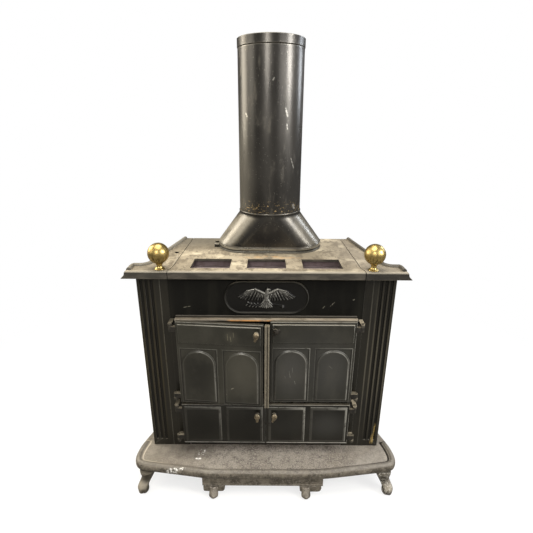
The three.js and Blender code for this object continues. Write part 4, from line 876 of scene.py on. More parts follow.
def eagleHeight(x, z):  # a spread eagle in relief, its head turned to the right, over a branch and arrows
    limbs = []  # each one's start and end, its width at both and its crown
    for side in (-1, 1):
        shoulder, wrist, bend, tip = (side * 7, 16), (side * 34, 30), (side * 60, 24), (side * 78, 9)
        for count, reach, width, crown in ((11, 1.0, 3.1, 2.6), (9, 0.62, 3.0, 3.6), (7, 0.36, 2.8, 4.4)):
            for i in range(count):
                t = i / (count - 1)
                root = (shoulder[0] + (wrist[0] + side * 8 - shoulder[0]) * min(1, t * 1.35),
                        17 + 11 * math.sin(min(1, t * 1.2) * 1.5))
                fan, length = math.radians(262 + 68 * t ** 1.1), reach * (25 + 26 * t ** 1.3)
                end = (root[0] + side * math.cos(fan) * length, root[1] + math.sin(fan) * length)
                limbs.append((root, end, width * 0.8, width, crown + 0.35 * (i % 2)))
        limbs += [(shoulder, wrist, 5.0, 4.2, 6.4), (wrist, bend, 4.0, 2.6, 5.0), (bend, tip, 2.7, 1.2, 3.6)]
        knee, foot = (side * 12, -15), (side * 17, -20)
        limbs += [((side * 5, -6), knee, 4.2, 2.6, 6.2), (knee, foot, 2.0, 1.6, 5.4)]
        limbs += [(foot, (side * 19.4 + toe * 3.4, -25 + abs(toe)), 1.5, 0.9, 5.6) for toe in (-1, 0, 1)]
    limbs += [((0, 12), (0, -8), 10.0, 6.0, 7.6), ((1, 14), (3, 27), 7.2, 5.6, 7.8)]
    limbs += [((4, 29), (7, 29.5), 5.6, 4.2, 8.2), ((9, 29), (15.5, 26), 2.8, 0.8, 7.2)]
    for row in range(5):
        for i in range(5 - row % 2):
            px = (i - 2 + 0.5 * (row % 2)) * 3.6
            limbs.append(((px, 12 - row * 4.6), (px * 0.94, 8 - row * 4.6), 2.1, 1.4, 8.6 - 0.12 * px * px))
    for i in range(7):
        lean = (i - 3) * 0.17
        limbs.append(((lean * 8, -12), (lean * 34, -33 + 6 * abs(lean)), 2.0, 3.0, 4.2 + 0.4 * (i % 2)))
    stem = [(-8, -21), (-24, -26), (-42, -25), (-58, -19)]
    limbs += [(a, b, 1.5, 1.1, 3.4) for a, b in zip(stem, stem[1:])]
    for i in range(9):
        t = i / 8
        root = (-16 - 40 * t, -24 - 3 * math.sin(t * 3.1) + 5 * t)
        limbs.append((root, (root[0] - 7, root[1] + (6.5 if i % 2 else -6.5)), 1.0, 2.4, 3.4))
    for lift in (-3.2, 0, 3.2):
        nock = (14, -21 + lift * 0.3)
        limbs += [(nock, (52, -29 + lift), 1.0, 1.0, 3.2), (nock, (8, -18 + lift * 0.4), 1.2, 2.2, 3.0)]
        limbs.append(((50, -28.8 + lift), (57, -29.6 + lift * 1.2), 2.4, 0.5, 3.4))
    return np.maximum.reduce([tapered(x, z, *limb) for limb in limbs])


def makeMedallion(material, eagleMaterial):
    s = medallion
    face, rim = s["face"], s["rim"]
    inside, deep = s["half"] - rim + 1.5, s["high"] - rim + 1.5
    columns, rows = int(2 * inside / s["pitch"]), int(2 * deep / s["pitch"])
    gridX, gridZ = np.meshgrid(np.linspace(-inside, inside, columns + 1), np.linspace(-deep, deep, rows + 1))
    height = eagleHeight(gridX, gridZ)
    around = height[:-2, 1:-1] + height[2:, 1:-1] + height[1:-1, :-2] + height[1:-1, 2:]
    height[1:-1, 1:-1] = (4 * height[1:-1, 1:-1] + around) / 8
    edge = np.hypot(np.maximum(np.abs(gridX) - (inside - deep), 0), gridZ)
    bm = bmesh.new()
    verts = {(j, i): bm.verts.new((gridX[j, i], face - height[j, i], s["z"] + gridZ[j, i]))
             for j, i in np.ndindex(edge.shape) if edge[j, i] <= deep}
    for j, i in verts:
        corners = [(j, i), (j, i + 1), (j + 1, i + 1), (j + 1, i)]
        if all(corner in verts for corner in corners):
            bm.faces.new([verts[corner] for corner in corners])
    bmesh.ops.delete(bm, geom=[v for v in bm.verts if not v.link_faces], context="VERTS")
    closeOff(bm, 1, s["back"] - 0.5)
    finishPiece(toObject(bm, "eagleField"), eagleMaterial, replaces=("eagle_medallion",), sharp=75)
    bead = [(0, -1), (0.6, 0.2), (1.8, 2.2), (3, 2.8), (4.2, 2.2), (5.4, 0.6), (rim + 1.2, -0.3)]
    profile = [(0, 0), *shifted(bead, 0, -face), (rim + 1.2, 0)]
    outline = lambda inset: shifted(stadium(s["half"] - inset, s["high"] - inset, 28), 0, s["z"])
    finishPiece(shape("eagleRim", addMoulding, outline, profile, s["back"], ring=True), material, sharp=60)


# ---- pilasters and hinges

hinge = {
    "x": 299, "y": -31.5, "lug": 7, "pin": 3, "head": 5.5, "gap": 0.5, "knuckle": 6.3, "doorEdge": 281,
    "upper": ((588, 597, True), (313.5, 322.5, False)), "lower": ((281, 290, True), (141.5, 150.5, False)),
}
flutes = {"count": 4, "wide": 9, "deep": 5, "foot": 115, "head": 742, "pitch": 16, "first": 338}


def addHinged(bm, z0, z1, wide, arm):  # an eye round the hinge line with an arm to the frame or to the door
    x, y, edge = hinge["x"], hinge["y"], hinge["doorEdge"]
    if arm == "frame":
        outline = [(x + wide, 1), (x - wide, 1), *arc(x, y, wide, math.pi, math.pi, 14)]
    else:
        outline = [(edge, y - wide), (edge, y + wide), *arc(x, y, wide, math.pi / 2, -math.pi, 14)]
    before = set(bm.edges)
    addPrism(bm, outline, z0, z1, "z")
    fresh = [e for e in bm.edges if e not in before and abs(e.verts[0].co.z - e.verts[1].co.z) < 0.01]
    soften(bm, fresh, 0.9)


def addLugs(bm):
    for z0, z1, _ in hinge["upper"] + hinge["lower"]:
        addHinged(bm, z0, z1, hinge["lug"], "frame")


def addPinHoles(bm):
    r = hinge["pin"] + hinge["gap"]
    for z0, z1, below in hinge["upper"] + hinge["lower"]:
        low, high = (z0 - 19, z1 + 2) if below else (z0 - 2, z1 + 19)
        addLathe(bm, [(r, low), (r, high)], hinge["x"], hinge["y"], 20)


def addFlutes(bm):
    half = flutes["wide"] / 2
    ends = arc(0, flutes["foot"] + half, half, -math.pi / 2, math.pi / 2, 6)
    ends += arc(0, flutes["head"] - half, half, 0, math.pi / 2, 6)
    for i in range(flutes["count"]):
        addLathe(bm, [(max(0.15, r), z) for r, z in ends], flutes["first"] + flutes["pitch"] * i, 0, 20)
    for vertex in bm.verts:
        vertex.co.y *= flutes["deep"] / half


def makePilasters(material, lugMaterials):
    size = {"outer": 400, "inner": 328, "strip": 305.3, "jamb": 270, "thick": 14, "thin": 8, "foot": 90.3,
            "top": 766.5, "step": 597.7, "flangeFoot": 128, "flange": 7, "reach": 22}
    inner, strip, jamb, thin, foot, top, step = [
        size[key] for key in ("inner", "strip", "jamb", "thin", "foot", "top", "step")]
    blocks = [(strip, inner + 1, 0.4, thin, foot, top), (jamb, strip + 1, 0.2, thin - 0.2, foot, step, 0.6),
              (jamb, jamb + size["flange"], -size["reach"], 1, size["flangeFoot"], step, 0.8)]
    for word, side in sides:
        item = shape("pilaster" + word.title(), addBlock, inner, size["outer"], 0, size["thick"], foot, top, 1.2, 3)
        for block in blocks:
            join(item, addBlock, *block)
        cut(item, addFlutes)
        finishPiece(item, material, replaces=("pilaster_" + word,), sharp=32, side=side)
        item = shape("hingeLugs" + word.title(), addLugs)
        cut(item, addPinHoles)
        finishPiece(item, lugMaterials[side], side=side)


def makePins(material):
    r, cap = hinge["pin"], hinge["head"]
    for word, side in sides:
        for level in levels:
            for (_, _, below), end in zip(hinge[level], ("top", "bottom")):
                node = f"hinge_pin_{level}_{end}_{word}"
                low, high = [corner.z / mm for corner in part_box(node)]
                z0, z1 = (high - 3, high) if below else (low, low + 3)
                knob = [(cap - 0.8, z0), (cap, z0 + 0.8), (cap, z1 - 1), (cap - 1.4, z1)]
                if below:
                    profile = [(r - 0.6, low), (r, low + 0.6), (r, z0 + 0.2), *knob]
                else:
                    profile = [*knob, (r, z1 - 0.2), (r, high - 0.6), (r - 0.6, high)]
                name = f"pin{level.title()}{end.title()}{word.title()}"
                item = shape(name, addLathe, profile, side * hinge["x"], hinge["y"], 24)
                finishPiece(item, material, replaces=(node,))


# ---- doors

doorSize = {
    "back": -23, "front": -40, "proud": 4, "outer": 282, "upper": (307, 605), "lower": (133, 294.5),
    "rightInner": 12.5, "leftInner": 8, "lowerInner": 1.2, "margin": 7, "stile": 15, "ajar": 4.5, "topPanel": 533,
    "archHead": 514, "latchX": 28, "latchZ": {"upper": 575, "lower": 257},
}


def archAt(x0, x1, z0, z1):
    def outline(inset):
        a, b, low, high = x0 + inset, x1 - inset, z0 + inset, z1 - inset
        rise = (x1 - x0) / 2 * 0.95 - inset
        return [(a, low), (b, low), *arc((a + b) / 2, high - rise, (b - a) / 2, 0, math.pi, 32, rise)]
    return outline


def boxAt(x0, x1, z0, z1):
    return lambda inset: rectangle(x0, x1, z0, z1, inset)


# sections of the mouldings: inset from the outline, and how proud of the door's face
thinEdge = [(0, -1), (0, 0.1), (0.6, 2.4), (1.5, 3.6), (2.6, 4.0)]
raisedEdge = [(0, -1), (0, 0.1), (0.9, 0.5), (2.6, 1.9), (4.6, 3.3), (5.8, 3.8), (7.4, 4.0)]
softBead = [(0, -1), (0.2, 0.05), (1, 0.45), (2, 0.75), (3, 0.85), (4, 0.75), (5, 0.45), (5.8, 0.05), (6, -1)]
wideEdge = [(0, -1), (0, 0.1), (0.8, 0.6), (3.5, 2.0), (6.4, 3.3), (7.6, 3.8), (8.8, 4.0)]
footEdge = [(0, -1), (0.4, 0.6), (1.6, 1.7), (2.6, 2.0)]


def doorHang(level, side):  # the upper left door stands a little open
    if (level, side) != ("upper", -1):
        return Matrix.Identity(4)
    pivot = Matrix.Translation((-hinge["x"], hinge["y"], 0))
    return pivot @ Matrix.Rotation(-math.radians(doorSize["ajar"]), 4, "Z") @ pivot.inverted()


def makeDoor(level, word, side, material, lugMaterial):
    d = doorSize
    z0, z1 = d[level]
    tag, body, turn = level.title() + word.title(), f"{level}_{word}_door", doorHang(level, side)
    inner = d["lowerInner"] if level == "lower" else d["rightInner"] if side > 0 else d["leftInner"]
    front, outer, margin, head, gap = d["front"], d["outer"], d["margin"], d["archHead"], d["stile"] / 2
    face, middle = front + d["proud"], (inner + outer) / 2
    item = shape("door" + tag, addBlock, inner, outer, face, d["back"], z0, z1, 1.6, 3)
    parts = bmesh.new()
    if level == "upper":
        addMoulding(parts, boxAt(inner + margin, outer - margin, d["topPanel"], z1 - margin), thinEdge, face)
    for a, b in ((inner + margin, middle - gap), (middle + gap, outer - margin)):
        if level == "upper":
            addMoulding(parts, boxAt(a, b, z0 + 2, head), softBead, face, ring=True)
            addMoulding(parts, archAt(a + 7, b - 7, z0 + 8, head - 7), raisedEdge, face)
        else:
            addMoulding(parts, boxAt(a + 1, b - 1, z0 + 9, z1 - 8), wideEdge, face)
    if level == "lower":
        addMoulding(parts, boxAt(inner + 1.5, outer - 1.5, z0 + 0.5, z0 + 6.5), footEdge, face)
    combine(item, parts, "UNION")
    x, z = d["latchX"], d["latchZ"][level]
    knuckles = bmesh.new()
    for low, high, below in hinge[level]:
        foot = low - 17.3 if below else high + 0.3
        addHinged(knuckles, foot, foot + 17, hinge["knuckle"], "door")
    addPegs(knuckles, x, z, [(9.6, face + 1), (9.6, front - 1), (8.8, front - 2.4), (7.6, front - 3)])
    eyes = toObject(knuckles, "eyes" + tag)
    bore = [(4.5, d["back"] + 5), (4.5, front - 8)]
    holes = meshOf(addPinHoles)
    addPegs(holes, x, z, bore)
    combine(eyes, holes, "DIFFERENCE")
    cut(item, addPegs, x, z, bore)
    finishPiece(eyes, lugMaterial, body=body, turn=turn, side=side)
    finishPiece(item, material, body=body, replaces=(f"door_{level}_{word}",), turn=turn, sharp=34, side=side)


def makeAstragal(material):
    d = doorSize
    z0, z1 = d["upper"]
    x0, x1, foot = -3.2, 11.9, d["back"] - 4
    section = [(0, -3), (0.8, -3.8), (2, -4), (5.6, -4), (6.8, -3), (7.4, -1), (9.6, -1), (10.4, -3), (11.2, -4),
               (12.9, -4), (14.3, -3.4), (15.1, -2)]
    outline = [(x0, foot), *shifted(section, x0, d["front"]), (x1, foot)]
    item = shape("astragal", addPrism, outline, z0 + 0.2, z1 - 0.2, "z")
    finishPiece(item, material, body="upper_left_door", turn=doorHang("upper", -1), soft=0.4)


# ---- latches

handleTurns = {("upper", -1): 14, ("upper", 1): 48, ("lower", -1): 4, ("lower", 1): 20}
latchSize = {"slim": 0.62, "tail": 0.74, "head": 1.28, "upper": 39.3, "lower": -7.7}


def makeLatch(level, word, side, material, shaftMaterial):
    d, s = doorSize, latchSize
    tag, body = level.title() + word.title(), f"{level}_{word}_latch"
    boss = d["front"] - 3.3
    grip, slim = boss - 13, 1
    path = [(0, -18), (0.3, -13.5), (0.5, -8), (0.3, -3), (-0.4, 2), (-1, 7), (-1, 11.5), (-0.4, 15.5)]
    if (level, side) == ("upper", 1):  # a thin bar, unlike the other three
        slim = s["slim"]
        path = [(px, pz * (s["tail"] if pz < 0 else s["head"])) for px, pz in path]
    line = curve([(px, 0, pz) for px, pz in path], 3)
    widths = [wide * slim for wide in (2.8, 4.2, 5.0, 6.8, 9.2, 9.8, 8.2, 3.4)]
    bm = meshOf(addSweep, line, np.interp(np.arange(len(line)) / 3, range(8), widths), 16, 0.5, up=(0, 1, 0))
    for vertex in bm.verts:
        vertex.co.y += grip + 1 - 2.2 * math.sin(max(0, vertex.co.z + 10) / 25 * math.pi)
    item = toObject(bm, "handle" + tag)
    stem = [(5.2 * slim, grip), (5.6 * slim, grip + 6), (6.4, grip + 9), (6.8, boss - 0.6), (6.4, boss)]
    join(item, addPegs, 0.6, 0, stem)
    lean = Matrix.Rotation(math.radians(handleTurns[level, side]), 4, "Y")
    turn = doorHang(level, side) @ Matrix.Translation((side * d["latchX"], 0, d["latchZ"][level])) @ lean
    finishPiece(item, material, body=body, replaces=(f"latch_handle_{level}_{word}",), turn=turn,
                subdivide=1, sharp=60)
    end = s[level]
    shaft = [(4, boss - 2), (4, end), (6, end), (6.5, end + 0.8), (6.2, end + 2.4), (4.5, end + 3)]
    finishPiece(shape("shaft" + tag, addPegs, 0, 0, shaft), shaftMaterial, body=body, turn=turn)


# ---- hearth, skirt and legs

hearthSize = {
    "top": 90, "foot": 69, "rim": 22, "half": 450, "front": 131, "cornerReach": 99, "cornerX": 413, "bulge": 194,
    "shift": -9, "sideReach": 55, "neck": 420, "neckY": 60, "backX": 364, "backY": 303, "bulgeSteps": 14,
}


def evenly(a, b, count, first=1):
    return [Vector((a[0] + (b[0] - a[0]) * i / count, a[1] + (b[1] - a[1]) * i / count))
            for i in range(first, count + 1)]


def hearthOutline():  # the plan of the plate: its right half from the bulge round to the back, then mirrored
    s = hearthSize
    left, right = s["shift"] - s["bulge"], s["shift"] + s["bulge"]
    front, corner, half, reach = -s["front"], -s["cornerReach"], s["half"], s["sideReach"]
    points = evenly((left, front), (right, front), s["bulgeSteps"], 0)
    points += evenly((right, front), (s["cornerX"], corner), 12)
    points += bezier((s["cornerX"], corner), (half - 2, corner + 6), (half, -reach), 9)[1:]
    a, b, c, d = [Vector(p) for p in ((half, -reach), (half + 1, -reach / 2), (half - 8, s["neckY"] / 3),
                                      (s["neck"], s["neckY"]))]
    for t in [i / 10 for i in range(1, 11)]:
        points.append(a * (1 - t) ** 3 + b * 3 * t * (1 - t) ** 2 + c * 3 * t * t * (1 - t) + d * t ** 3)
    points += evenly((s["neck"], s["neckY"]), (s["backX"], s["backY"]), 6)
    points = [(p.x, p.y) for p in points]
    return points + [(-x, y) for x, y in reversed(points[s["bulgeSteps"] + 1:])]


def smoothedOutline(points, rounds):
    for _ in range(rounds):
        after = points[1:] + points[:1]
        points = [((a[0] + 2 * p[0] + b[0]) / 4, (a[1] + 2 * p[1] + b[1]) / 4) if p[1] < 200 else p
                  for a, p, b in zip(points[-1:] + points[:-1], points, after)]
    return points


def insetOutline(points, inset):
    result = []
    for before, here, after in zip(points[-1:] + points[:-1], points, points[1:] + points[:1]):
        before, here, after = Vector(before), Vector(here), Vector(after)
        first, second = (here - before).normalized(), (after - here).normalized()
        inward = Vector((-first.y, first.x)) + Vector((-second.y, second.x))
        inward = inward.normalized() / max(0.5, math.cos(first.angle(second, 0.0) / 2))
        result.append((here.x + inward.x * inset, here.y + inward.y * inset))
    return result


def makeHearth(material):
    s = hearthSize
    base = smoothedOutline(hearthOutline(), 3)
    foot, top, rim = s["foot"], s["top"], s["rim"]
    profile = [(rim + 1.5, 80), (rim, 78), (rim - 1.5, foot), (7, foot)]
    profile += shifted([(3.6, 0.8), (1.2, 3.2), (0.2, 7), (0, 11), (0, 15)], 0, foot)
    profile += shifted([(0.7, 0), (2.6, 3.6), (5.6, 6.9), (9, 8.6), (12.5, 9), (15.6, 8), (17.4, 6), (18, 4.6),
                        (18.8, 4.2), (20, 4.4), (21, 3.4), (22.4, 2), (24, 1), (26.4, 0.3), (27.4, 0)], 0, top)
    rings = [[(x, y, z) for x, y in insetOutline(base, inset)] for inset, z in profile]
    for ring in rings:
        for k, (x, y, z) in enumerate(ring):
            if y > 5 and z > top:  # the rim runs out beside the body
                ring[k] = (x, y, top + (z - top) * max(0.0, 1 - (y - 5) / 12))
    item = shape("hearthPlate", addLoft, rings)
    finishPiece(item, material, replaces=("hearth_plate",), sharp=60)


def makeSkirt(material):
    size = {"x0": -211, "x1": 193, "top": 68.7, "foot": 36.7, "front": -126}
    outline = shifted([(10, 1), (3, 0), (1, 1), (0, 3), (0, 7), (1.2, 8.5)], size["front"], size["foot"])
    outline += shifted([(1.2, -5), (3, -1), (4, 0), (30, 0), (30, -8), (10, -8)], size["front"], size["top"])
    item = shape("frontSkirt", addPrism, outline, size["x0"], size["x1"], "x")
    finishPiece(item, material, replaces=("front_skirt",), soft=0.8)


def makeBracketLegs(material):
    size = {"spread": 162, "shift": -9, "foot": 13.7, "front": -126, "reach": 8.3, "left": -2, "right": -17}
    plate = [(-37, 7), (-35.5, 2), (-31, 0), (23, 0), (29, 1.5), (33, 6), (35, 13), (35, 22.5), (-37, 22.5)]
    back = [(-40, 16), (35, 16), (40, 22), (40, 46.7), (-40, 46.7)]
    widths = [9, 14.6, 15.2, 14.6, 15, 16.5]
    stations = [(0, 0, 0), (-1, 6, 1), (-1, 11, 2), (3, 17, 3), (9, 24, 4), (16, 32, 5)]  # forward, up, which width
    low, front = size["foot"], size["front"]
    for word, side in sides:
        x = size["shift"] + side * size["spread"]
        item = shape("bracketLeg" + word.title(), addPrism, shifted(plate, x, low), front, front + 20)
        join(item, addPrism, shifted(back, x, low), front + 10.3, front + 20.3)
        rings = []
        for out, up, at in curve(stations, 4):
            k = min(4, int(at))
            wide = widths[k] + (widths[k + 1] - widths[k]) * (at - k)
            claw = max(0.0, 1 - up / 20)
            rings.append([])
            for t in turns(36):
                split = 1 + 0.12 * claw * max(0.0, -math.sin(t)) * math.cos(4 * (t + math.pi / 2))
                rings[-1].append((x + size[word] + wide * split * math.cos(t),
                                  front - size["reach"] + out + wide * 0.86 * split * math.sin(t), up))
        join(item, addLoft, rings)
        finishPiece(item, material, replaces=("bracket_leg_" + word,), soft=0.7, sharp=45)


legSizes = {"corner": {"top": (402, -88), "pad": (414, -113), "z": 68.7},
            "rear": {"top": (296, 250), "pad": (318, 282), "z": 79.7}}
legBow = 9
# share of the way out to the pad, height and half width; the last two stations take the leg's own height
legStations = [(1, 0, 11), (1, 1.4, 14.4), (1, 5, 17.2), (1, 12, 18.8), (1, 20, 18.6), (0.96, 26, 17.8),
               (0.86, 32, 17.2), (0.7, 38, 17.4), (0.5, 45, 18.8), (0.34, 52, 21.2), (0.2, 58, 23.6)]


def makeCornerLegs(material):
    for word, side in sides:
        for kind, leg in legSizes.items():
            top, pad = Vector(leg["top"]), Vector(leg["pad"])
            out = (pad - top).normalized()
            across = Vector((-out.y, out.x))
            rings = []
            for share, z, wide in curve(legStations + [(0.08, leg["z"] - 6, 25.6), (0, leg["z"], 26.5)], 4):
                centre = top.lerp(pad, share) - out * (legBow * math.sin(math.pi * share))
                rings.append([])
                for t in turns(36):
                    outer = max(0.0, math.cos(t))
                    toes = 1 + 0.1 * outer * math.cos(5 * t) * max(0.0, 1 - z / 26)
                    leaf = 1 + 0.09 * outer ** 4 * math.cos(3 * t) * min(1.0, max(0.0, (z - 40) / 12))
                    swell = wide * toes * leaf
                    point = centre + out * (0.96 * swell * math.cos(t)) + across * (swell * math.sin(t))
                    rings[-1].append((side * point.x, point.y, max(0.0, min(z, leg["z"]))))
            item = shape(f"{kind}Leg{word.title()}", addLoft, rings)
            finishPiece(item, material, replaces=(f"{kind}_leg_{word}",), sharp=60)


# ---- sides, back and the parts inside

def makeShell(material):
    panel = {"front": (360, 14.3), "back": (304, 295.7), "thick": 7, "foot": 90.3, "top": 766.5, "half": 304}
    (x0, y0), (x1, y1), thick = panel["front"], panel["back"], panel["thick"]
    sideRib = [(3, 130), (4.6, 132), (5, 136), (5, 720.5), (4.6, 724.5), (3, 726.5)]
    backRib = [(2.4, 130), (3.7, 132), (4, 135), (4, 721), (3.7, 724.5), (2.4, 726.5)]
    for word, side in sides:
        outline = [(x0 - thick, y0), (x0, y0), (x1, y1), (x1 - thick, y1)]
        item = shape("sidePanel" + word.title(), addPrism, outline, panel["foot"], panel["top"], "z")
        ribs = bmesh.new()
        for share in (0.3, 0.7):
            addLathe(ribs, sideRib, x0 + (x1 - x0) * share, y0 + (y1 - y0) * share, 20)
        combine(item, ribs, "UNION")
        finishPiece(item, material, replaces=("side_panel_" + word,), sharp=40, side=side)
    item = shape("backPanel", addBlock, -panel["half"], panel["half"], 296, 303, panel["foot"], panel["top"], 0.8)
    ribs = bmesh.new()
    for x in (-152, 0, 152):
        addLathe(ribs, backRib, x, 303, 20)
    combine(item, ribs, "UNION")
    finishPiece(item, material, replaces=("back_panel",), sharp=40)


def dressPlainNodes(finishes):  # nodes whose shape is right keep it and get a finish
    for node, material in finishes.items():
        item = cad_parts[node]
        item.data.materials.clear()
        item.data.materials.append(material)


# ---- floor, world and lamps

floorSize = {"radius": 9000, "foot": -12, "top": -0.6}


def makeStage():
    paint = Paint("floorPaint")
    ray = paint.node("ShaderNodeLightPath", out="Is Camera Ray")
    paint.feed(paint.shader.inputs["Base Color"], paint.blend(ray, (0.2, 0.19, 0.175), (0.86, 0.86, 0.85)))
    paint.feed(paint.shader.inputs["Roughness"], 0.9)
    glow = paint.node("ShaderNodeEmission", Color=(1, 1, 1), Strength=1.0)
    x, y, _ = paint.at()
    share = ray * (paint.smooth(paint.far(x, y), 0.9, 1.7) * 0.3 + 0.7)
    mix = paint.node("ShaderNodeMixShader", i0=share, i1=Wire(paint, paint.shader.outputs[0]), i2=glow)
    paint.feed(paint.tree.nodes["Material Output"].inputs["Surface"], mix)
    radius = floorSize["radius"]
    rings = [[(radius * math.cos(t), radius * math.sin(t), floorSize[z]) for t in turns(64)] for z in ("foot", "top")]
    floor = shape("floor", addLoft, rings)
    for vertex in floor.data.vertices:
        vertex.co = place(vertex.co)
    floor.data.materials.append(paint.owner)
    sky = Paint("studio", bpy.data.worlds)
    bpy.context.scene.world = sky.owner
    sky.tree.nodes.remove(sky.tree.nodes["Background"])
    soft, dim, white = [sky.node("ShaderNodeBackground", Color=colour, Strength=strength) for colour, strength in (
        ((1, 0.98, 0.95), 0.5), ((1, 0.96, 0.88), 0.12), ((1, 1, 1), 1.0))]
    glossy = sky.node("ShaderNodeLightPath", out="Is Glossy Ray")
    seen = sky.node("ShaderNodeLightPath", out="Is Camera Ray")
    light = sky.node("ShaderNodeMixShader", i0=glossy, i1=soft, i2=dim)
    whole = sky.node("ShaderNodeMixShader", i0=seen, i1=light, i2=white)
    sky.feed(sky.tree.nodes["World Output"].inputs["Surface"], whole)


# each lamp: where it hangs, what it looks at, its width and height, power and colour
lamps = {
    "overhead": ((-200, 100, 2900), (0, 100, 775), (1700, 1300), 62, (1, 0.95, 0.85)),
    "leftWindow": ((-2200, 800, 1820), (0, 200, 900), (1000, 1500), 50, (1, 0.92, 0.78)),
    "leftFront": ((-2250, -600, 1850), (0, 0, 1000), (900, 1300), 13, (1, 0.95, 0.85)),
    "rightFront": ((1490, -1670, 1850), (0, 0, 1000), (900, 1300), 11, (1, 0.98, 0.96)),
    "rightWindow": ((2250, -900, 1950), (0, 100, 900), (700, 1200), 55, (1, 0.99, 0.98)),
    "rightRear": ((2100, 1300, 1900), (10, 217, 900), (400, 1200), 20, (0.82, 0.89, 1)),
    "front": ((-560, -2300, 2030), (0, 200, 1200), (380, 950), 32, (1, 0.96, 0.9)),
}


def makeLamps():
    for name, (at, to, (wide, high), power, colour) in lamps.items():
        data = bpy.data.lights.new(name, "AREA")
        data.shape = "RECTANGLE"
        data.size, data.size_y = wide * mm, high * mm
        data.energy = power
        data.color = colour
        item = toScene(name, data)
        spot, goal = place(at), place(to)
        item.location = spot
        item.rotation_euler = (goal - spot).to_track_quat("-Z", "Y").to_euler()


# ---- putting it together

# pools, painted patches of sheen and shade: middle (x, z), half width and height, how strong, colour. strokes: two ends
# (x, z), width, colour
headerScratches = [
    ((-262, 636), (-236, 641), 1.1, (0.2, 0.19, 0.15)), ((198, 640), (214, 658), 1.2, (0.24, 0.22, 0.18)),
    ((176, 634), (184, 645), 1.0, (0.2, 0.19, 0.15)), ((268, 664), (276, 667), 1.8, (0.16, 0.15, 0.12))]
# painted highlights: lighter lines on the strips between the flutes, paler on the right pilaster
pilasterPools = [(side * x, 420, 3.8, 390, amount, shade)
                 for side, amount, shade in ((-1, 0.8, (0.045, 0.036, 0.016)), (1, 0.9, (0.08, 0.071, 0.05)))
                 for x in (330, 346, 362, 378, 394)]
streaks = [((387, 190), (380, 95), 4, (0.42, 0.3, 0.1)), ((378, 150), (374, 96), 2, (0.25, 0.17, 0.06))]
# patches of painted sheen on the upper doors, and one of painted shade on the left door's outer column
doorPools = [
    (150, 450, 210, 240, 0.6, (0.027, 0.0272, 0.026)), (-75, 440, 90, 130, 0.8, (0.06, 0.0565, 0.043)),
    (75, 430, 75, 140, 0.75, (0.055, 0.0535, 0.049)), (210, 430, 80, 140, 0.6, (0.047, 0.0465, 0.043)),
    (-215, 420, 85, 150, 0.7, (0.007, 0.0066, 0.0046)), (-108, 562, 30, 30, 0.35, (0.085, 0.078, 0.056))]
doorScratches = [
    ((74, 432), (79, 404), 1.1, (0.17, 0.165, 0.145)), ((84, 446), (86, 424), 0.9, (0.14, 0.135, 0.12)),
    ((92, 396), (97, 376), 1.1, (0.17, 0.165, 0.145)), ((60, 414), (66, 396), 0.9, (0.12, 0.117, 0.105)),
    ((-114, 371), (-103, 376), 2.0, (0.19, 0.18, 0.14)), ((-131, 352), (-126, 346), 1.4, (0.15, 0.14, 0.11)),
    ((200, 452), (214, 440), 1.0, (0.12, 0.117, 0.105)), ((-120, 575), (-118, 548), 1.4, (0.16, 0.145, 0.1)),
    ((-111, 566), (-108, 545), 1.2, (0.16, 0.145, 0.1)), ((-101, 580), (-100, 560), 1.0, (0.14, 0.13, 0.09))]
# painted shade on the lower left door, painted sheen on the lower right
lowerPools = [
    (-215, 215, 110, 90, 0.9, (0.003, 0.0027, 0.0014)), (-70, 200, 100, 90, 0.8, (0.004, 0.0037, 0.0024)),
    (210, 215, 90, 80, 0.85, (0.034, 0.0335, 0.03)), (75, 215, 80, 60, 0.5, (0.014, 0.0138, 0.012))]
upperDoor = {"dark": (0.0135, 0.0132, 0.0096), "pale": (0.029, 0.028, 0.0205), "rough": 0.34, "pools": doorPools,
             "strokes": doorScratches, "cloudiness": 0.2}
lowerDoor = {"dark": (0.006, 0.0057, 0.0043), "pale": (0.016, 0.015, 0.0115), "shine": 0.4, "pools": lowerPools}

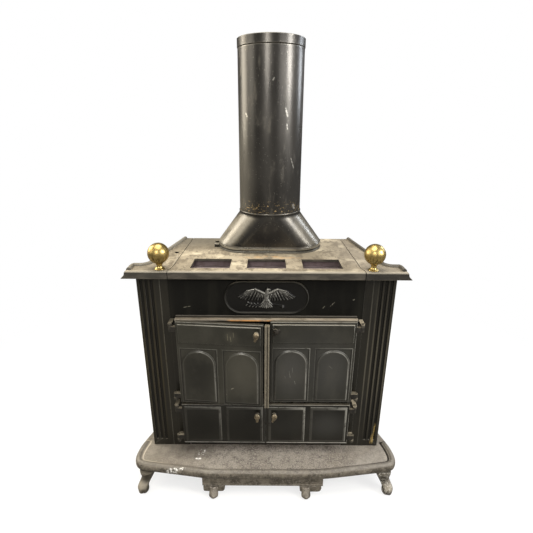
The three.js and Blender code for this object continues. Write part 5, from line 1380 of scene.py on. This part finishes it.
black = stoveBlack("stoveBlack", edgeWearAndHighlight=0.22)
# a darker copy of the stove black for the header: painted shade under the top plates' lip
shadedHeaderBlack = stoveBlack("shadedHeaderBlack", (0.0022, 0.0022, 0.0018), (0.006, 0.0058, 0.0046), strokes=headerScratches,
                         shine=0.22)
rimBlack = stoveBlack("rimBlack", (0.004, 0.0039, 0.0033), (0.009, 0.0088, 0.0072), 0.5, 0.22, shine=0.16)
pilasterBlack = stoveBlack("pilasterBlack", (0.0045, 0.004, 0.0024), (0.0125, 0.0108, 0.006), edgeWearAndHighlight=0.9,
                           strokes=streaks, pools=pilasterPools)
# the left doors take copies with less painted edge highlight, and less dust, than the right doors
doorFinishes = {
    ("upper", -1): stoveBlack("shadedUpperBlack", edgeWearAndHighlight=0.6, dusty=0.3, **upperDoor),
    ("upper", 1): stoveBlack("doorBlack", edgeWearAndHighlight=0.95, dusty=0.6, **upperDoor),
    ("lower", -1): stoveBlack("shadedLowerBlack", rough=0.4, edgeWearAndHighlight=0.4, dusty=0.3, **lowerDoor),
    ("lower", 1): stoveBlack("lowerBlack", rough=0.36, edgeWearAndHighlight=0.9, dusty=0.6, **lowerDoor),
}
darkIron = stoveBlack("insideIron", (0.012, 0.01, 0.008), (0.03, 0.0245, 0.02), dusty=0.4)
ledgeDustAndShade, silverAndHighlight, hearth, enamel = ledgeIron(), eagleIron(), hearthIron(), pipeEnamel()
stripIron = rubbedIron("stripIron", (0.045, 0.038, 0.028), (0.14, 0.122, 0.092), 0.42, 0.35)
bronze = rubbedIron("handleBronze", (0.05, 0.036, 0.02), (0.24, 0.19, 0.12), 0.34)
darkBronze = rubbedIron("darkBronze", (0.004, 0.003, 0.002), (0.016, 0.011, 0.006), 0.5, 0.2, 0.0, 0.05)
# a paler, dustier copy for the lugs on the right: painted light on the side the light comes from
litLugIron = rubbedIron("litLugIron", (0.01, 0.009, 0.007), (0.06, 0.053, 0.043), 0.55, 0.2, 1.0, 0.12)
lugIron = rubbedIron("lugIron", (0.005, 0.0042, 0.003), (0.02, 0.017, 0.012), 0.6, 0.1, 0.35, 0.03)
print("finishes ready")

makeStage()
makeLamps()
makePipe(enamel)
makeBoot(enamel)
makeCollar(enamel)
makeFinials(agedBrass())
print("flue and finials ready")
makeTop(dustyTop())
makeTray(trayFloor())
print("top ready")
makeHeader(shadedHeaderBlack, ledgeDustAndShade)
makeMedallion(rimBlack, silverAndHighlight)
makePilasters(pilasterBlack, {-1: lugIron, 1: litLugIron})
makePins(lugIron)
makeShell(black)
print("body ready")
for word, side in sides:
    for level in levels:
        makeDoor(level, word, side, doorFinishes[level, side], lugIron)
        makeLatch(level, word, side, darkBronze if (level, side) == ("upper", 1) else bronze, darkIron)
makeAstragal(stripIron)
print("doors ready")
makeHearth(hearth)
makeSkirt(hearth)
makeBracketLegs(hearth)
makeCornerLegs(hearth)
plain = {"ash_guard": darkIron, "fire_grate": darkIron, "collar_bolt": lugIron}
plain.update({f"latch_tongue_{level}_{word}": darkIron for level in levels for word, _ in sides})
dressPlainNodes(plain)
print("hearth ready")
